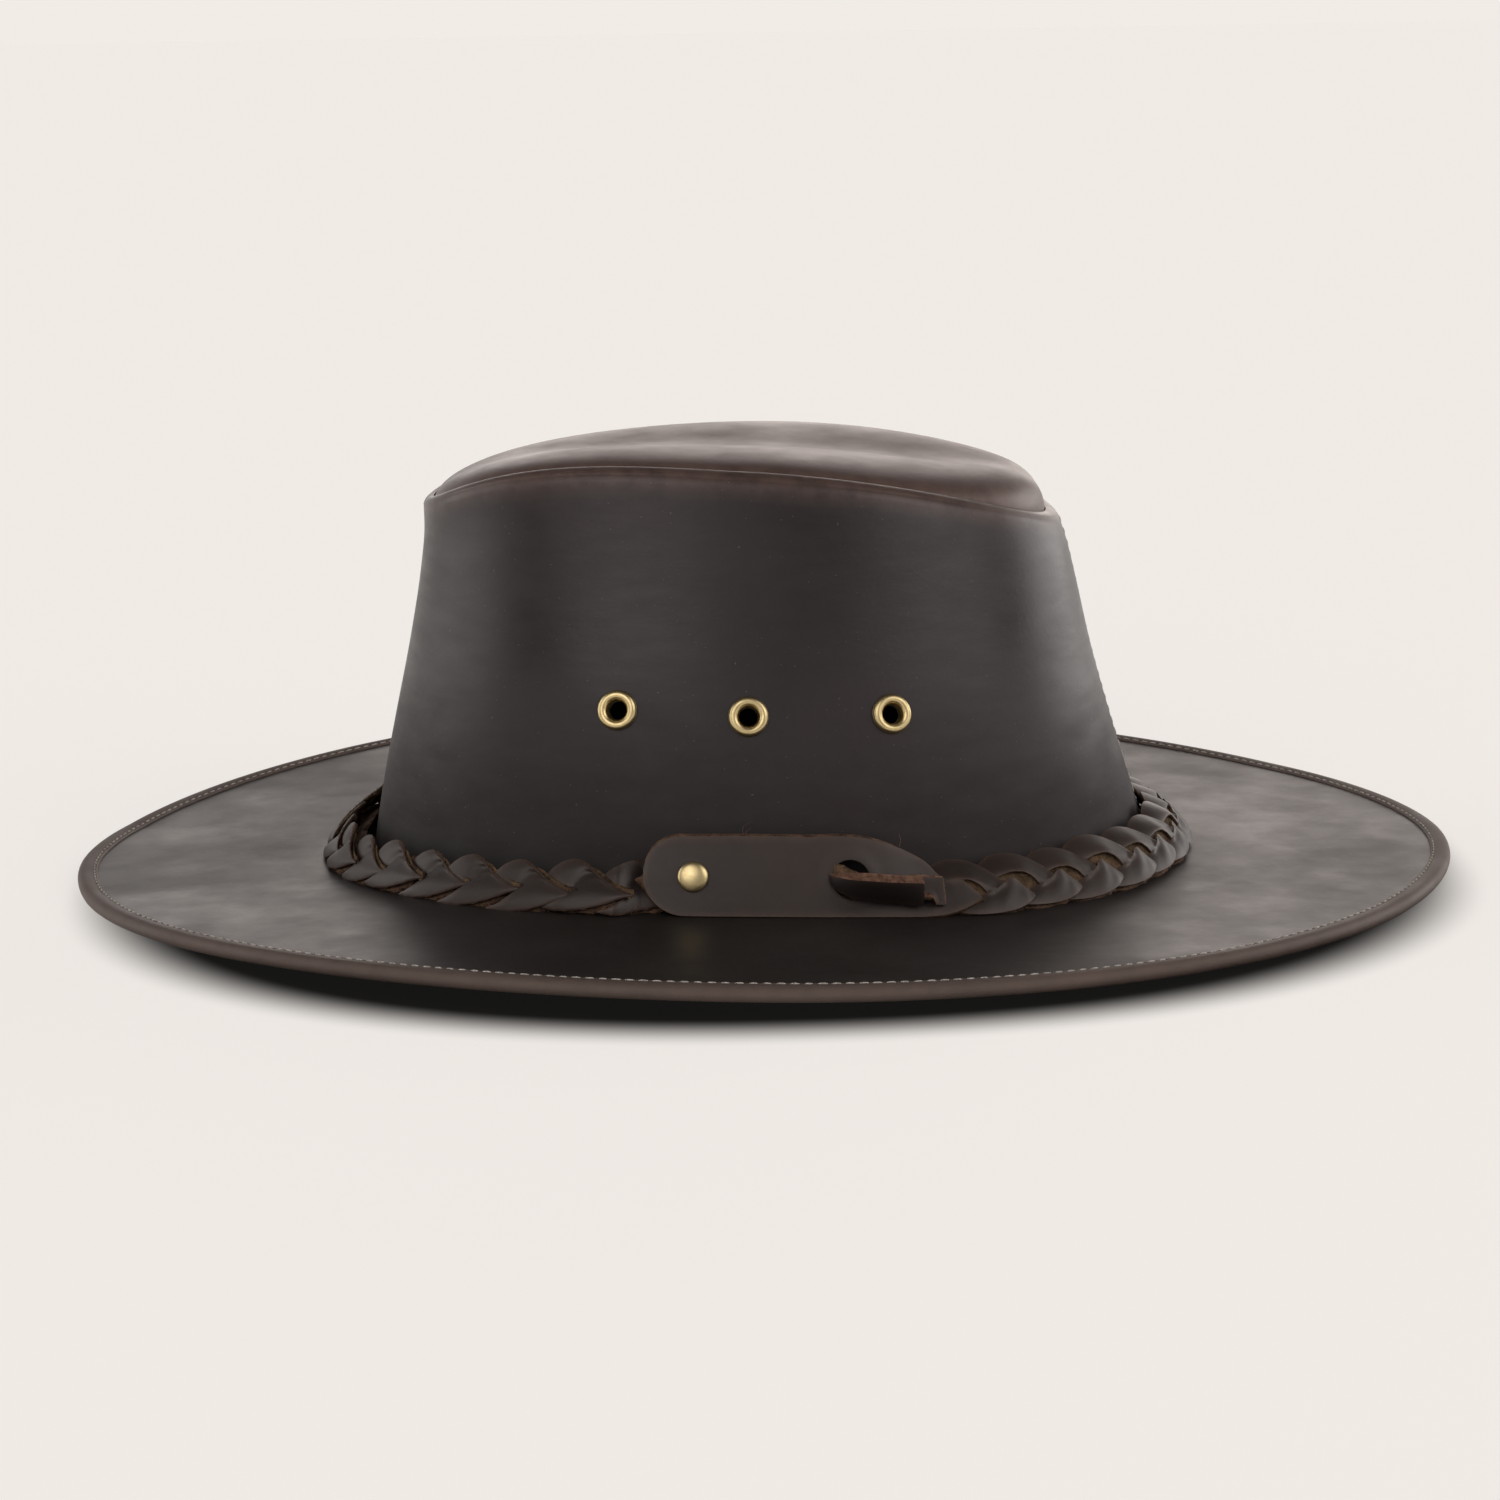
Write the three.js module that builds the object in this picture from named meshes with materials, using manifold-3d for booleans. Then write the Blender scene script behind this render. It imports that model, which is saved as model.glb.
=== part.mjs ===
// A wide-brimmed leather hat resting on its brim.
//
// Units are millimetres and +Z is up. The floor is z = 0, below the middle of the hat. The front of
// the hat is -X, its back is +X and the wearer's left is -Y. Angles run counter-clockwise seen from
// above, from 0 at the back, so 270 degrees is the middle of the left side.

import * as THREE from 'three';
import { mergeVertices } from 'three/addons/utils/BufferGeometryUtils.js';
import Module from 'manifold-3d';

// Driving dimensions

const SIDES = 56; // facets round every oval
const GAP = 0.3; // clearance between touching pieces

const BRIM = { halfLength: 193.5, halfWidth: 177.4, roundness: 1.88, leather: 2.2 };
// The middle height of the brim's leather at its edge, and where the crown stands on it: the mean, how
// far the ends droop and the sides lift, and a twist that lifts each side most towards the front.
const BRIM_EDGE = { mean: 4.5, droop: 3.1, twist: 1.1 };
const FOOT = { mean: 4.1, droop: 0.9, twist: 1.25 };
const FLAT_RIM = 9; // width of level brim along the edge
const FLAT_FOOT = 15; // width of level brim round the crown, under the band
const BINDING = { width: 5.5, leather: 0.7, nose: 1.1, corner: 1.2 };

const COLLAR = { height: 11, bend: 2.5 }; // the brim's inner edge, turned up inside the crown

const WALL = { leather: 1.8, footRoundness: 2.13, topRoundness: 2.25 };
// The crown's wall: up is the fraction of its height, the others are distances from the origin.
const WALL_SECTIONS = [
  { up: 0.0, front: 110.8, back: 108.6, side: 88.0 },
  { up: 0.2, front: 107.2, back: 102.9, side: 81.0 },
  { up: 0.4, front: 103.0, back: 97.2, side: 74.2 },
  { up: 0.6, front: 98.6, back: 92.0, side: 67.6 },
  { up: 0.8, front: 94.8, back: 87.8, side: 61.2 },
  { up: 0.9, front: 93.5, back: 85.6, side: 58.0 },
  { up: 1.0, front: 93.5, back: 82.6, side: 54.9 },
];
// Height of the wall's top edge, as a mean and the waves that arch it: once, twice, ... round.
const TOP_EDGE = [110.2, -5.1, -7.3, 1.6, -0.6, 0.2];
const TOP_SKEW = 5.0; // a wave on the wearer's right, which lowers it in front and lifts it behind

const TIP = { leather: 1.6, belowEdge: 1.4, flange: 7, rings: [1, 0.96, 0.86, 0.68, 0.4] };
// The tip's pillow above the seam: along runs from the front, -1, to the back, 1.
const TIP_SECTIONS = [
  { along: -1.0, rise: 0.0, crease: 0.0 },
  { along: -0.9, rise: 4.0, crease: 0.3 },
  { along: -0.6, rise: 4.4, crease: 1.6 },
  { along: 0.0, rise: 5.2, crease: 2.8 },
  { along: 0.6, rise: 6.1, crease: 2.0 },
  { along: 0.88, rise: 9.0, crease: 0.6 },
  { along: 1.0, rise: 0.0, crease: 0.0 },
];

const EYELET = { flange: 10.5, bore: 5.2, barrel: 6.2, backFlange: 9.2, roll: 1.3, facets: 12 };
// Places on the left side, across from the front and up from the floor; the right side repeats them.
const EYELET_PLACES = [
  { x: -40.9, z: 56.3 },
  { x: -6.6, z: 54.6 },
  { x: 31.3, z: 53.7 },
];

const BAND = { links: 38, height: 12.5, point: 4, lift: 1.1 };
// How far a link stands out from the wall, at fractions of the band's height.
const BAND_PROFILE = [
  { up: 0.0, out: 10.5 },
  { up: 0.25, out: 12.0 },
  { up: 0.55, out: 10.5 },
  { up: 0.8, out: 8.0 },
  { up: 1.0, out: 4.5 },
];
// The tab's ends are measured along the crown's foot from the middle of the left side.
const TAB = { from: -32.2, to: 46.4, height: 19.6, back: 6, leather: 2.6, slope: 28 };
const RIVET = { along: -19.9, up: 9.6, cap: 8, rise: 1.5, post: 2.8, facets: 16 };
const TIE_HOLE = { along: 19.6, up: 9.2, diameter: 10, facets: 20 };
const TIE = { leather: 2.2, width: 6.8, end: 35.6 };
const TIE_END = { leather: 1.7, width: 8, from: 27, end: 42.6, curl: 3.2 };

// Numbers worked out from them

const HALF_EDGE = BRIM.leather / 2 + GAP + BINDING.leather;
const WALL_INSET = WALL.leather * 1.05; // the wall leans, so it is wider measured level
const LEFT_MIDDLE = 1.5 * Math.PI;
const TAB_LENGTH = TAB.to - TAB.from;

const leather = new THREE.MeshStandardMaterial({ color: 0x3a302d, roughness: 0.5 });
const paleLeather = new THREE.MeshStandardMaterial({ color: 0x5a4a42, roughness: 0.6 });
const brass = new THREE.MeshStandardMaterial({ color: 0xb8984f, roughness: 0.3, metalness: 1 });

// Tables and ovals

function lookUp(table, key, at, column) {
  const next = table.findIndex((row) => row[key] >= at);
  if (next <= 0) return table[next === 0 ? 0 : table.length - 1][column];
  const [low, high] = [table[next - 1], table[next]];
  const share = (at - low[key]) / (high[key] - low[key]);
  return THREE.MathUtils.lerp(low[column], high[column], share);
}

function signedPower(value, power) {
  return Math.sign(value) * Math.abs(value) ** power;
}

// A rounded oval, on the plan, with its own reach to the front, back and side.
function oval(angle, front, back, side, roundness) {
  const power = 2 / roundness;
  return new THREE.Vector2(
    (back - front) / 2 + ((back + front) / 2) * signedPower(Math.cos(angle), power),
    side * signedPower(Math.sin(angle), power),
  );
}

function brimOutline(angle, inset) {
  const reach = BRIM.halfLength - inset;
  return oval(angle, reach, reach, BRIM.halfWidth - inset, BRIM.roundness);
}

function wallOutline(angle, up, outset) {
  const row = (column) => lookUp(WALL_SECTIONS, 'up', up, column) + outset;
  const roundness = THREE.MathUtils.lerp(WALL.footRoundness, WALL.topRoundness, up);
  return oval(angle, row('front'), row('back'), row('side'), roundness);
}

function topEdge(angle) {
  const arch = TOP_EDGE.reduce((sum, wave, turns) => sum + wave * Math.cos(turns * angle), 0);
  const onRight = ((1 + Math.sin(angle)) / 2) ** 2;
  return arch + TOP_SKEW * onRight * Math.sin(2 * angle);
}

function waveHeight({ mean, droop, twist }, angle) {
  return mean - droop * Math.cos(2 * angle) + twist * (Math.cos(3 * angle) - Math.cos(angle));
}

// The edge rests on the floor where it would otherwise dip below it.
function edgeHeight(angle) {
  return Math.max(HALF_EDGE, waveHeight(BRIM_EDGE, angle));
}

function brimTop(angle) {
  return waveHeight(FOOT, angle) + BRIM.leather / 2;
}

function wallFoot(angle) {
  return brimTop(angle) + GAP;
}

function wallHeight(angle) {
  return topEdge(angle) - wallFoot(angle);
}

function wallPoint(angle, up, outset) {
  const { x, y } = wallOutline(angle, up, outset);
  return new THREE.Vector3(x, y, wallFoot(angle) + up * wallHeight(angle));
}

// Solids from rows of points

function geometryOf(points, triangles) {
  const geometry = new THREE.BufferGeometry();
  geometry.setAttribute(
    'position',
    new THREE.Float32BufferAttribute(points.flatMap((p) => [p.x, p.y, p.z]), 3),
  );
  geometry.setIndex(triangles.flat());
  return geometry;
}

// Joins closed loops of points into one skin. Loops run one way, with as many points in each; where
// closed is true the last loop joins the first, and otherwise both ends are closed by a fan.
function loft(loops, closed) {
  const size = loops[0].length;
  const points = loops.flat();
  const triangles = [];
  const bands = closed ? loops.length : loops.length - 1;
  for (let loop = 0; loop < bands; loop += 1) {
    for (let i = 0; i < size; i += 1) {
      const here = loop * size;
      const there = ((loop + 1) % loops.length) * size;
      const next = (i + 1) % size;
      triangles.push([here + i, there + i, there + next], [here + i, there + next, here + next]);
    }
  }
  if (!closed) {
    for (const [start, flip] of [[0, false], [(loops.length - 1) * size, true]]) {
      points.push(meanPoint(points.slice(start, start + size)));
      const centre = points.length - 1;
      for (let i = 0; i < size; i += 1) {
        const next = start + ((i + 1) % size);
        triangles.push(flip ? [centre, next, start + i] : [centre, start + i, next]);
      }
    }
  }
  return geometryOf(points, triangles);
}

function meanPoint(points) {
  const sum = points.reduce((total, p) => total.add(p), new THREE.Vector3());
  return sum.divideScalar(points.length);
}

function aroundOval(sectionAt) {
  const loops = [];
  for (let side = 0; side < SIDES; side += 1) {
    loops.push(sectionAt((2 * Math.PI * side) / SIDES));
  }
  return loft(loops, true);
}

// A block whose grid of columns and rows is mapped to a front and a back skin.
function bentBlock(columns, rows, pointAt) {
  const loops = [];
  for (const column of columns) {
    const front = rows.map((row) => pointAt(column, row, true));
    const back = rows.map((row) => pointAt(column, row, false));
    loops.push([...front, ...back.reverse()]);
  }
  return blockFromLoops(loops, rows.length);
}

// Closes a bent block's two ends with quads, so that flat ends stay flat.
function blockFromLoops(loops, rowCount) {
  const size = loops[0].length;
  const points = loops.flat();
  const triangles = [];
  for (let loop = 0; loop + 1 < loops.length; loop += 1) {
    for (let i = 0; i < size; i += 1) {
      const [here, there, next] = [loop * size, (loop + 1) * size, (i + 1) % size];
      triangles.push([here + i, there + i, there + next], [here + i, there + next, here + next]);
    }
  }
  for (const [start, flip] of [[0, false], [(loops.length - 1) * size, true]]) {
    for (let row = 0; row + 1 < rowCount; row += 1) {
      const front = [start + row, start + row + 1];
      const back = [start + size - 1 - row, start + size - 2 - row];
      const faces = [[front[0], front[1], back[1]], [front[0], back[1], back[0]]];
      triangles.push(...faces.map((face) => (flip ? face.reverse() : face)));
    }
  }
  return geometryOf(points, triangles);
}

// Cuts and checks with the solid library

const wasm = await Module();
wasm.setup();

function solidOf(geometry) {
  const bare = geometry.clone();
  bare.deleteAttribute('normal');
  bare.deleteAttribute('uv');
  const merged = mergeVertices(bare, 1e-4);
  const triVerts = new Uint32Array(merged.index.array);
  const vertProperties = merged.attributes.position.array;
  const solid = new wasm.Manifold(new wasm.Mesh({ numProp: 3, vertProperties, triVerts }));
  if (solid.volume() > 0) return solid;
  return new wasm.Manifold(
    new wasm.Mesh({ numProp: 3, vertProperties, triVerts: triVerts.reverse() }),
  );
}

function geometryFromSolid(solid) {
  const mesh = solid.getMesh();
  const geometry = new THREE.BufferGeometry();
  const positions = new THREE.Float32BufferAttribute(mesh.vertProperties, mesh.numProp);
  geometry.setAttribute('position', positions);
  geometry.setIndex(new THREE.Uint32BufferAttribute(mesh.triVerts, 1));
  return geometry;
}

function cut(geometry, cutters) {
  const solid = cutters.reduce((rest, tool) => rest.subtract(solidOf(tool)), solidOf(geometry));
  return geometryFromSolid(solid);
}

const hat = new THREE.Group();
hat.name = 'leather_hat';

function addPiece(name, geometry, material) {
  const outward = geometryFromSolid(solidOf(geometry)).toNonIndexed();
  outward.computeVertexNormals();
  const piece = new THREE.Mesh(outward, material);
  piece.name = name;
  hat.add(piece);
  return piece;
}

// Brim: one sheet, with its inner edge turned up as a collar inside the crown

function brimSection(angle) {
  const half = BRIM.leather / 2;
  const edge = edgeHeight(angle);
  const collarOut = -(WALL_INSET + GAP);
  const at = ({ x, y }, z) => new THREE.Vector3(x, y, z);
  const shoulder = wallOutline(angle, 0, FLAT_FOOT);
  const collar = (up, outset, z) => at(wallOutline(angle, up, collarOut + outset), z);
  const top = brimTop(angle);
  const collarUp = (COLLAR.height - GAP) / wallHeight(angle);
  const rim = brimOutline(angle, BINDING.nose + GAP);
  const rimInner = brimOutline(angle, FLAT_RIM);
  return [
    at(rim, edge - half),
    at(rim, edge + half),
    at(rimInner, edge + half),
    at(shoulder, top),
    collar(0, 0, top),
    collar(collarUp, 0, top + COLLAR.height),
    collar(collarUp, -BRIM.leather, top + COLLAR.height),
    collar(0, -BRIM.leather, top - BRIM.leather + COLLAR.bend),
    collar(0, -BRIM.leather + COLLAR.bend, top - BRIM.leather),
    at(shoulder, top - BRIM.leather),
    at(rimInner, edge - half),
  ];
}

addPiece('brim', aroundOval(brimSection), leather);

// Edge binding: a strip folded round the brim's edge

function bindingSection(angle) {
  const edge = edgeHeight(angle);
  const inner = HALF_EDGE - BINDING.leather;
  const at = (inset, height) => {
    const { x, y } = brimOutline(angle, inset);
    return new THREE.Vector3(x, y, edge + height);
  };
  const { width, nose, corner } = BINDING;
  const outside = [[width, HALF_EDGE], [corner, HALF_EDGE], [0, HALF_EDGE - corner]];
  const inside = [[nose, inner], [width, inner]];
  const upper = [...inside].reverse().map(([inset, height]) => at(inset, height));
  const lower = inside.map(([inset, height]) => at(inset, -height));
  return [
    ...outside.map(([inset, height]) => at(inset, height)),
    ...[...outside].reverse().map(([inset, height]) => at(inset, -height)),
    ...lower.reverse(),
    ...upper.reverse(),
  ];
}

addPiece('brim_binding', aroundOval(bindingSection), paleLeather);

// Eyelets, and the holes that they line

// The angle and height fraction of a place on the wall, found by stepping to it.
function placeOnWall(x, z, side) {
  let up = 0.5;
  let angle = side * (Math.PI / 2);
  for (let step = 0; step < 20; step += 1) {
    const front = lookUp(WALL_SECTIONS, 'up', up, 'front');
    const back = lookUp(WALL_SECTIONS, 'up', up, 'back');
    const roundness = THREE.MathUtils.lerp(WALL.footRoundness, WALL.topRoundness, up);
    const share = (x - (back - front) / 2) / ((back + front) / 2);
    angle = side * Math.acos(signedPower(share, roundness / 2));
    up = (z - wallFoot(angle)) / wallHeight(angle);
  }
  return { angle, up };
}

function frameOnWall({ angle, up }) {
  const step = 0.02;
  const along = wallPoint(angle + step, up, 0).sub(wallPoint(angle - step, up, 0));
  const rise = wallPoint(angle, up + step, 0).sub(wallPoint(angle, up - step, 0));
  return { origin: wallPoint(angle, up, 0), outward: along.cross(rise).normalize() };
}

// Turns a lathe made about +Y so that it stands on a surface, its axis along outward.
function standOn(geometry, { origin, outward }) {
  const turn = new THREE.Quaternion().setFromUnitVectors(new THREE.Vector3(0, 1, 0), outward);
  return geometry.applyQuaternion(turn).translate(origin.x, origin.y, origin.z);
}

function lathe(rows, facets) {
  const profile = rows.map(([radius, height]) => new THREE.Vector2(radius, height));
  return new THREE.LatheGeometry(profile, facets);
}

function pin(diameter, from, to, facets) {
  const radius = diameter / 2;
  return lathe([[0, from], [radius, from], [radius, to], [0, to]], facets);
}

function eyeletGeometry() {
  const { flange, bore, barrel, backFlange, roll, facets } = EYELET;
  const front = GAP + 0.1;
  const back = -WALL.leather - GAP - 0.1;
  return lathe(
    [
      [bore / 2, back - 0.6],
      [backFlange / 2, back - 0.6],
      [backFlange / 2, back],
      [barrel / 2, back],
      [barrel / 2, front],
      [flange / 2, front],
      [flange / 2 - 0.5, front + roll * 0.7],
      [bore / 2 + 1, front + roll],
      [bore / 2, front + roll * 0.4],
      [bore / 2, back - 0.6],
    ],
    facets,
  );
}

const eyeletFrames = [];
for (const side of [-1, 1]) {
  for (const { x, z } of EYELET_PLACES) {
    eyeletFrames.push(frameOnWall(placeOnWall(x, z, side)));
  }
}
eyeletFrames.forEach((frame, index) => {
  addPiece(`eyelet_${index + 1}`, standOn(eyeletGeometry(), frame), brass);
});

// Crown wall: one panel, closed by a seam at the back, with a hole for each eyelet

function wallSection(angle) {
  const ups = WALL_SECTIONS.map((row) => row.up);
  const outside = ups.map((up) => wallPoint(angle, up, 0));
  const inside = ups.map((up) => wallPoint(angle, up, -WALL_INSET));
  return [...outside, ...inside.reverse()];
}

const eyeletHoles = eyeletFrames.map((frame) => {
  const reach = 2 * WALL.leather;
  const hole = pin(EYELET.barrel + 2 * GAP, -reach, reach, EYELET.facets);
  return standOn(hole, frame);
});
addPiece('crown_side', cut(aroundOval(wallSection), eyeletHoles), leather);

// Crown tip: a pillowed oval with a soft crease, its edge turned down inside the wall

function tipPoint(angle, ring, below) {
  const outset = -(WALL_INSET + GAP);
  const rim = wallOutline(angle, 1, outset);
  const centre = (wallOutline(0, 1, outset).x + wallOutline(Math.PI, 1, outset).x) / 2;
  const x = centre + (rim.x - centre) * ring;
  const y = rim.y * ring;
  const along = THREE.MathUtils.clamp((x - centre) / (wallOutline(0, 1, outset).x - centre), -1, 1);
  const seamAngle = Math.acos(signedPower(along, WALL.topRoundness / 2));
  const halfChord = Math.abs(wallOutline(seamAngle, 1, outset).y);
  const across = halfChord > 1e-6 ? THREE.MathUtils.clamp(y / halfChord, -1, 1) : 1;
  const seam = THREE.MathUtils.lerp(topEdge(-seamAngle), topEdge(seamAngle), (1 + across) / 2);
  const pillow = Math.sqrt(1 - across ** 4);
  const rise = lookUp(TIP_SECTIONS, 'along', along, 'rise') * pillow;
  const crease = lookUp(TIP_SECTIONS, 'along', along, 'crease') * Math.exp(-((across / 0.35) ** 2));
  return new THREE.Vector3(x, y, seam - TIP.belowEdge + rise - crease - below);
}

function tipLoops() {
  const outset = -(WALL_INSET + GAP);
  const flangeAt = (angle, inset) => {
    const up = 1 - TIP.flange / wallHeight(angle);
    return wallPoint(angle, up, outset - inset);
  };
  const angles = Array.from({ length: SIDES }, (_, side) => (2 * Math.PI * side) / SIDES);
  const skin = (ring, below) => angles.map((angle) => tipPoint(angle, ring, below));
  const outer = [...TIP.rings].reverse().map((ring) => skin(ring, 0));
  const inner = TIP.rings.slice(1).map((ring) => skin(ring, TIP.leather));
  return [
    ...outer,
    angles.map((angle) => flangeAt(angle, 0)),
    angles.map((angle) => flangeAt(angle, TIP.leather)),
    ...inner,
  ];
}

addPiece('crown_tip', loft(tipLoops(), false), leather);

// Band: measured along the crown's foot, up from the brim and out from the wall

class FootCurve extends THREE.Curve {
  getPoint(share, target = new THREE.Vector3()) {
    const { x, y } = wallOutline(LEFT_MIDDLE + share * 2 * Math.PI, 0, 0);
    return target.set(x, y, 0);
  }
}

const foot = new FootCurve();
foot.arcLengthDivisions = 720;
const FOOT_LENGTH = foot.getLength();

function bandFrame(along) {
  const share = (((along / FOOT_LENGTH) % 1) + 1) % 1;
  const turn = foot.getUtoTmapping(share);
  const tangent = foot.getTangent(turn);
  return { angle: LEFT_MIDDLE + turn * 2 * Math.PI, outward: new THREE.Vector3(tangent.y, -tangent.x, 0) };
}

function bandPoint(along, up, out) {
  const { angle, outward } = bandFrame(along);
  return wallPoint(angle, up / wallHeight(angle), 0).addScaledVector(outward, out);
}

// Links: each is a bellied arrowhead that points on round the hat

const PITCH = (FOOT_LENGTH - TAB_LENGTH) / BAND.links;
const WALL_CLEARANCE = GAP + 0.1;

function linkEnd(index, up) {
  const shape = index === BAND.links ? 0 : 1 - Math.abs((2 * up) / BAND.height - 1);
  return TAB.to + PITCH * index + BAND.point * shape;
}

function linkGeometry(index) {
  const columns = [0, 0.5, 1];
  const rows = BAND_PROFILE.map((row) => row.up * BAND.height);
  return bentBlock(columns, rows, (column, up, isFront) => {
    const start = linkEnd(index, up) + GAP / 2;
    const end = linkEnd(index + 1, up) - GAP / 2;
    const along = THREE.MathUtils.lerp(start, end, column);
    const front = lookUp(BAND_PROFILE, 'up', up / BAND.height, 'out') + BAND.lift * (2 * column - 1);
    return bandPoint(along, up, isFront ? front : WALL_CLEARANCE);
  });
}

for (let index = 0; index < BAND.links; index += 1) {
  const number = String(index + 1).padStart(2, '0');
  addPiece(`band_link_${number}`, linkGeometry(index), leather);
}

// Tab: the flat strap end that joins the band, rounded at one end and pointed into the links

function tabEdges(along) {
  const middle = TAB.height / 2;
  const fromLeft = along - TAB.from;
  if (fromLeft < middle) {
    const half = Math.sqrt(Math.max(0, middle ** 2 - (middle - fromLeft) ** 2));
    return [middle - half, middle + half];
  }
  if (along <= TAB.slope) return [0, TAB.height];
  const tip = TAB.to + BAND.point - GAP;
  const share = (along - TAB.slope) / (tip - TAB.slope);
  const point = BAND.height / 2;
  return [point * share ** 2, TAB.height + (point - TAB.height) * share ** 1.3];
}

function tabGeometry() {
  const tip = TAB.to + BAND.point - GAP;
  const columns = [0.4, 1.6, 4, 7.2, 10.4].map((share) => TAB.from + share);
  for (let along = TAB.from + 16.4; along < TAB.slope; along += 6) columns.push(along);
  for (const share of [0, 0.3, 0.6, 0.85, 0.97]) {
    columns.push(THREE.MathUtils.lerp(TAB.slope, tip, share));
  }
  return bentBlock(columns, [0, 0.5, 1], (along, row, isFront) => {
    const [low, high] = tabEdges(along);
    return bandPoint(along, THREE.MathUtils.lerp(low, high, row), TAB.back + (isFront ? TAB.leather : 0));
  });
}

function bandSurfaceFrame(along, up, out) {
  const step = 1;
  const across = bandPoint(along + step, up, out).sub(bandPoint(along - step, up, out));
  const rise = bandPoint(along, up + step, out).sub(bandPoint(along, up - step, out));
  return { origin: bandPoint(along, up, out), outward: across.cross(rise).normalize() };
}

const tabFront = TAB.back + TAB.leather;
const rivetFrame = bandSurfaceFrame(RIVET.along, RIVET.up, tabFront);
const tieHoleFrame = bandSurfaceFrame(TIE_HOLE.along, TIE_HOLE.up, tabFront);
const throughTab = 3 * TAB.leather;
const tabHoles = [
  standOn(pin(RIVET.post + 2 * GAP, -throughTab, throughTab, RIVET.facets), rivetFrame),
  standOn(pin(TIE_HOLE.diameter, -throughTab, throughTab, TIE_HOLE.facets), tieHoleFrame),
];
addPiece('band_tab', cut(tabGeometry(), tabHoles), leather);

function rivetGeometry() {
  const [cap, post] = [RIVET.cap / 2, RIVET.post / 2];
  const profile = [
    [0, -TAB.leather],
    [post, -TAB.leather],
    [post, GAP],
    [cap - 0.4, GAP],
    [cap, GAP + 0.5],
    [cap * 0.85, GAP + RIVET.rise * 0.85],
    [cap * 0.5, GAP + RIVET.rise],
    [0, GAP + RIVET.rise * 1.05],
  ];
  return lathe(profile, RIVET.facets);
}

addPiece('tab_rivet', standOn(rivetGeometry(), rivetFrame), brass);

// Tie: the strap's tongue comes out of the hole and lies along the tab, with a curled end beside it

function stripGeometry(route, thickness, low, high) {
  const curve = new THREE.CatmullRomCurve3(route.map(([along, out]) => new THREE.Vector3(along, out, 0)));
  const steps = 3 * (route.length - 1);
  const loops = [];
  for (let step = 0; step <= steps; step += 1) {
    const share = step / steps;
    const middle = curve.getPoint(share);
    const ahead = curve.getTangent(share);
    const corner = (side, up) => {
      const shift = (side * thickness) / 2;
      return bandPoint(middle.x - ahead.y * shift, up, middle.y + ahead.x * shift);
    };
    loops.push([corner(1, low), corner(1, high), corner(-1, high), corner(-1, low)]);
  }
  return blockFromLoops(loops, 2);
}

const tieLow = TIE_HOLE.up - TIE.width / 2;
const tongueOut = tabFront + TIE_END.leather + 2 * GAP + 0.2 + TIE.leather / 2;
const tongueRoute = [
  [TIE_HOLE.along - 1, TAB.back - 0.8],
  [TIE_HOLE.along - 0.8, tabFront],
  [TIE_HOLE.along + 1.6, tongueOut - 0.2],
  [TIE_HOLE.along + 8, tongueOut],
  [TIE.end, tongueOut],
];
addPiece('band_tie', stripGeometry(tongueRoute, TIE.leather, tieLow, tieLow + TIE.width), leather);

const endOut = tabFront + GAP + TIE_END.leather / 2;
const endRoute = [
  [TIE_END.from, endOut],
  [(TIE_END.from + TIE_END.end) / 2, endOut],
  [TIE_END.end - 2, endOut + 0.3],
  [TIE_END.end, endOut + TIE_END.curl],
];
const endLow = TIE_HOLE.up - TIE_END.width / 2;
addPiece('band_tie_end', stripGeometry(endRoute, TIE_END.leather, endLow, endLow + TIE_END.width), leather);

export default hat;
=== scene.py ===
import math

import bpy
import numpy as np
from mathutils import Matrix, Vector
from mathutils.bvhtree import BVHTree


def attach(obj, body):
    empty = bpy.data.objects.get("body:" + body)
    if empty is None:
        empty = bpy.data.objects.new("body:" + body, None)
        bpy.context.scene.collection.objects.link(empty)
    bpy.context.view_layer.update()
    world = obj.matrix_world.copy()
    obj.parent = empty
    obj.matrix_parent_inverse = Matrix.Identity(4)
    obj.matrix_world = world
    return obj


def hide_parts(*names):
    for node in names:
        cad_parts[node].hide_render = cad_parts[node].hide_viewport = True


# The looks of a wide-brimmed leather hat that rests on its brim.
# The front of the hat is -X, its back +X, the wearer's left -Y, and the floor z = 0. Sizes below are in
# millimetres; angles run counter-clockwise seen from above, from the back, so 270 degrees is mid left.

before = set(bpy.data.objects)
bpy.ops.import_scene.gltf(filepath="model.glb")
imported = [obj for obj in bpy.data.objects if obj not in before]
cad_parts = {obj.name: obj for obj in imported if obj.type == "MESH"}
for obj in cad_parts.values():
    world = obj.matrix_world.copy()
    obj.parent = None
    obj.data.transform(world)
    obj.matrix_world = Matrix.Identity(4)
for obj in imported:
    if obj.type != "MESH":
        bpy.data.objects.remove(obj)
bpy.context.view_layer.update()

MM = 0.001

# Sizes that the solid model has too

BRIM = {"half_length": 193.5, "half_width": 177.4, "roundness": 1.88, "leather": 2.2}
BRIM_EDGE = {"mean": 4.5, "droop": 3.1, "twist": 1.1}
FOOT = {"mean": 4.1, "droop": 0.9, "twist": 1.25}
FLAT_FOOT = 15.0
FLAT_RIM = 9.0
HALF_EDGE = 2.1
COLLAR_HEIGHT = 11.0
GAP = 0.3

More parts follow.
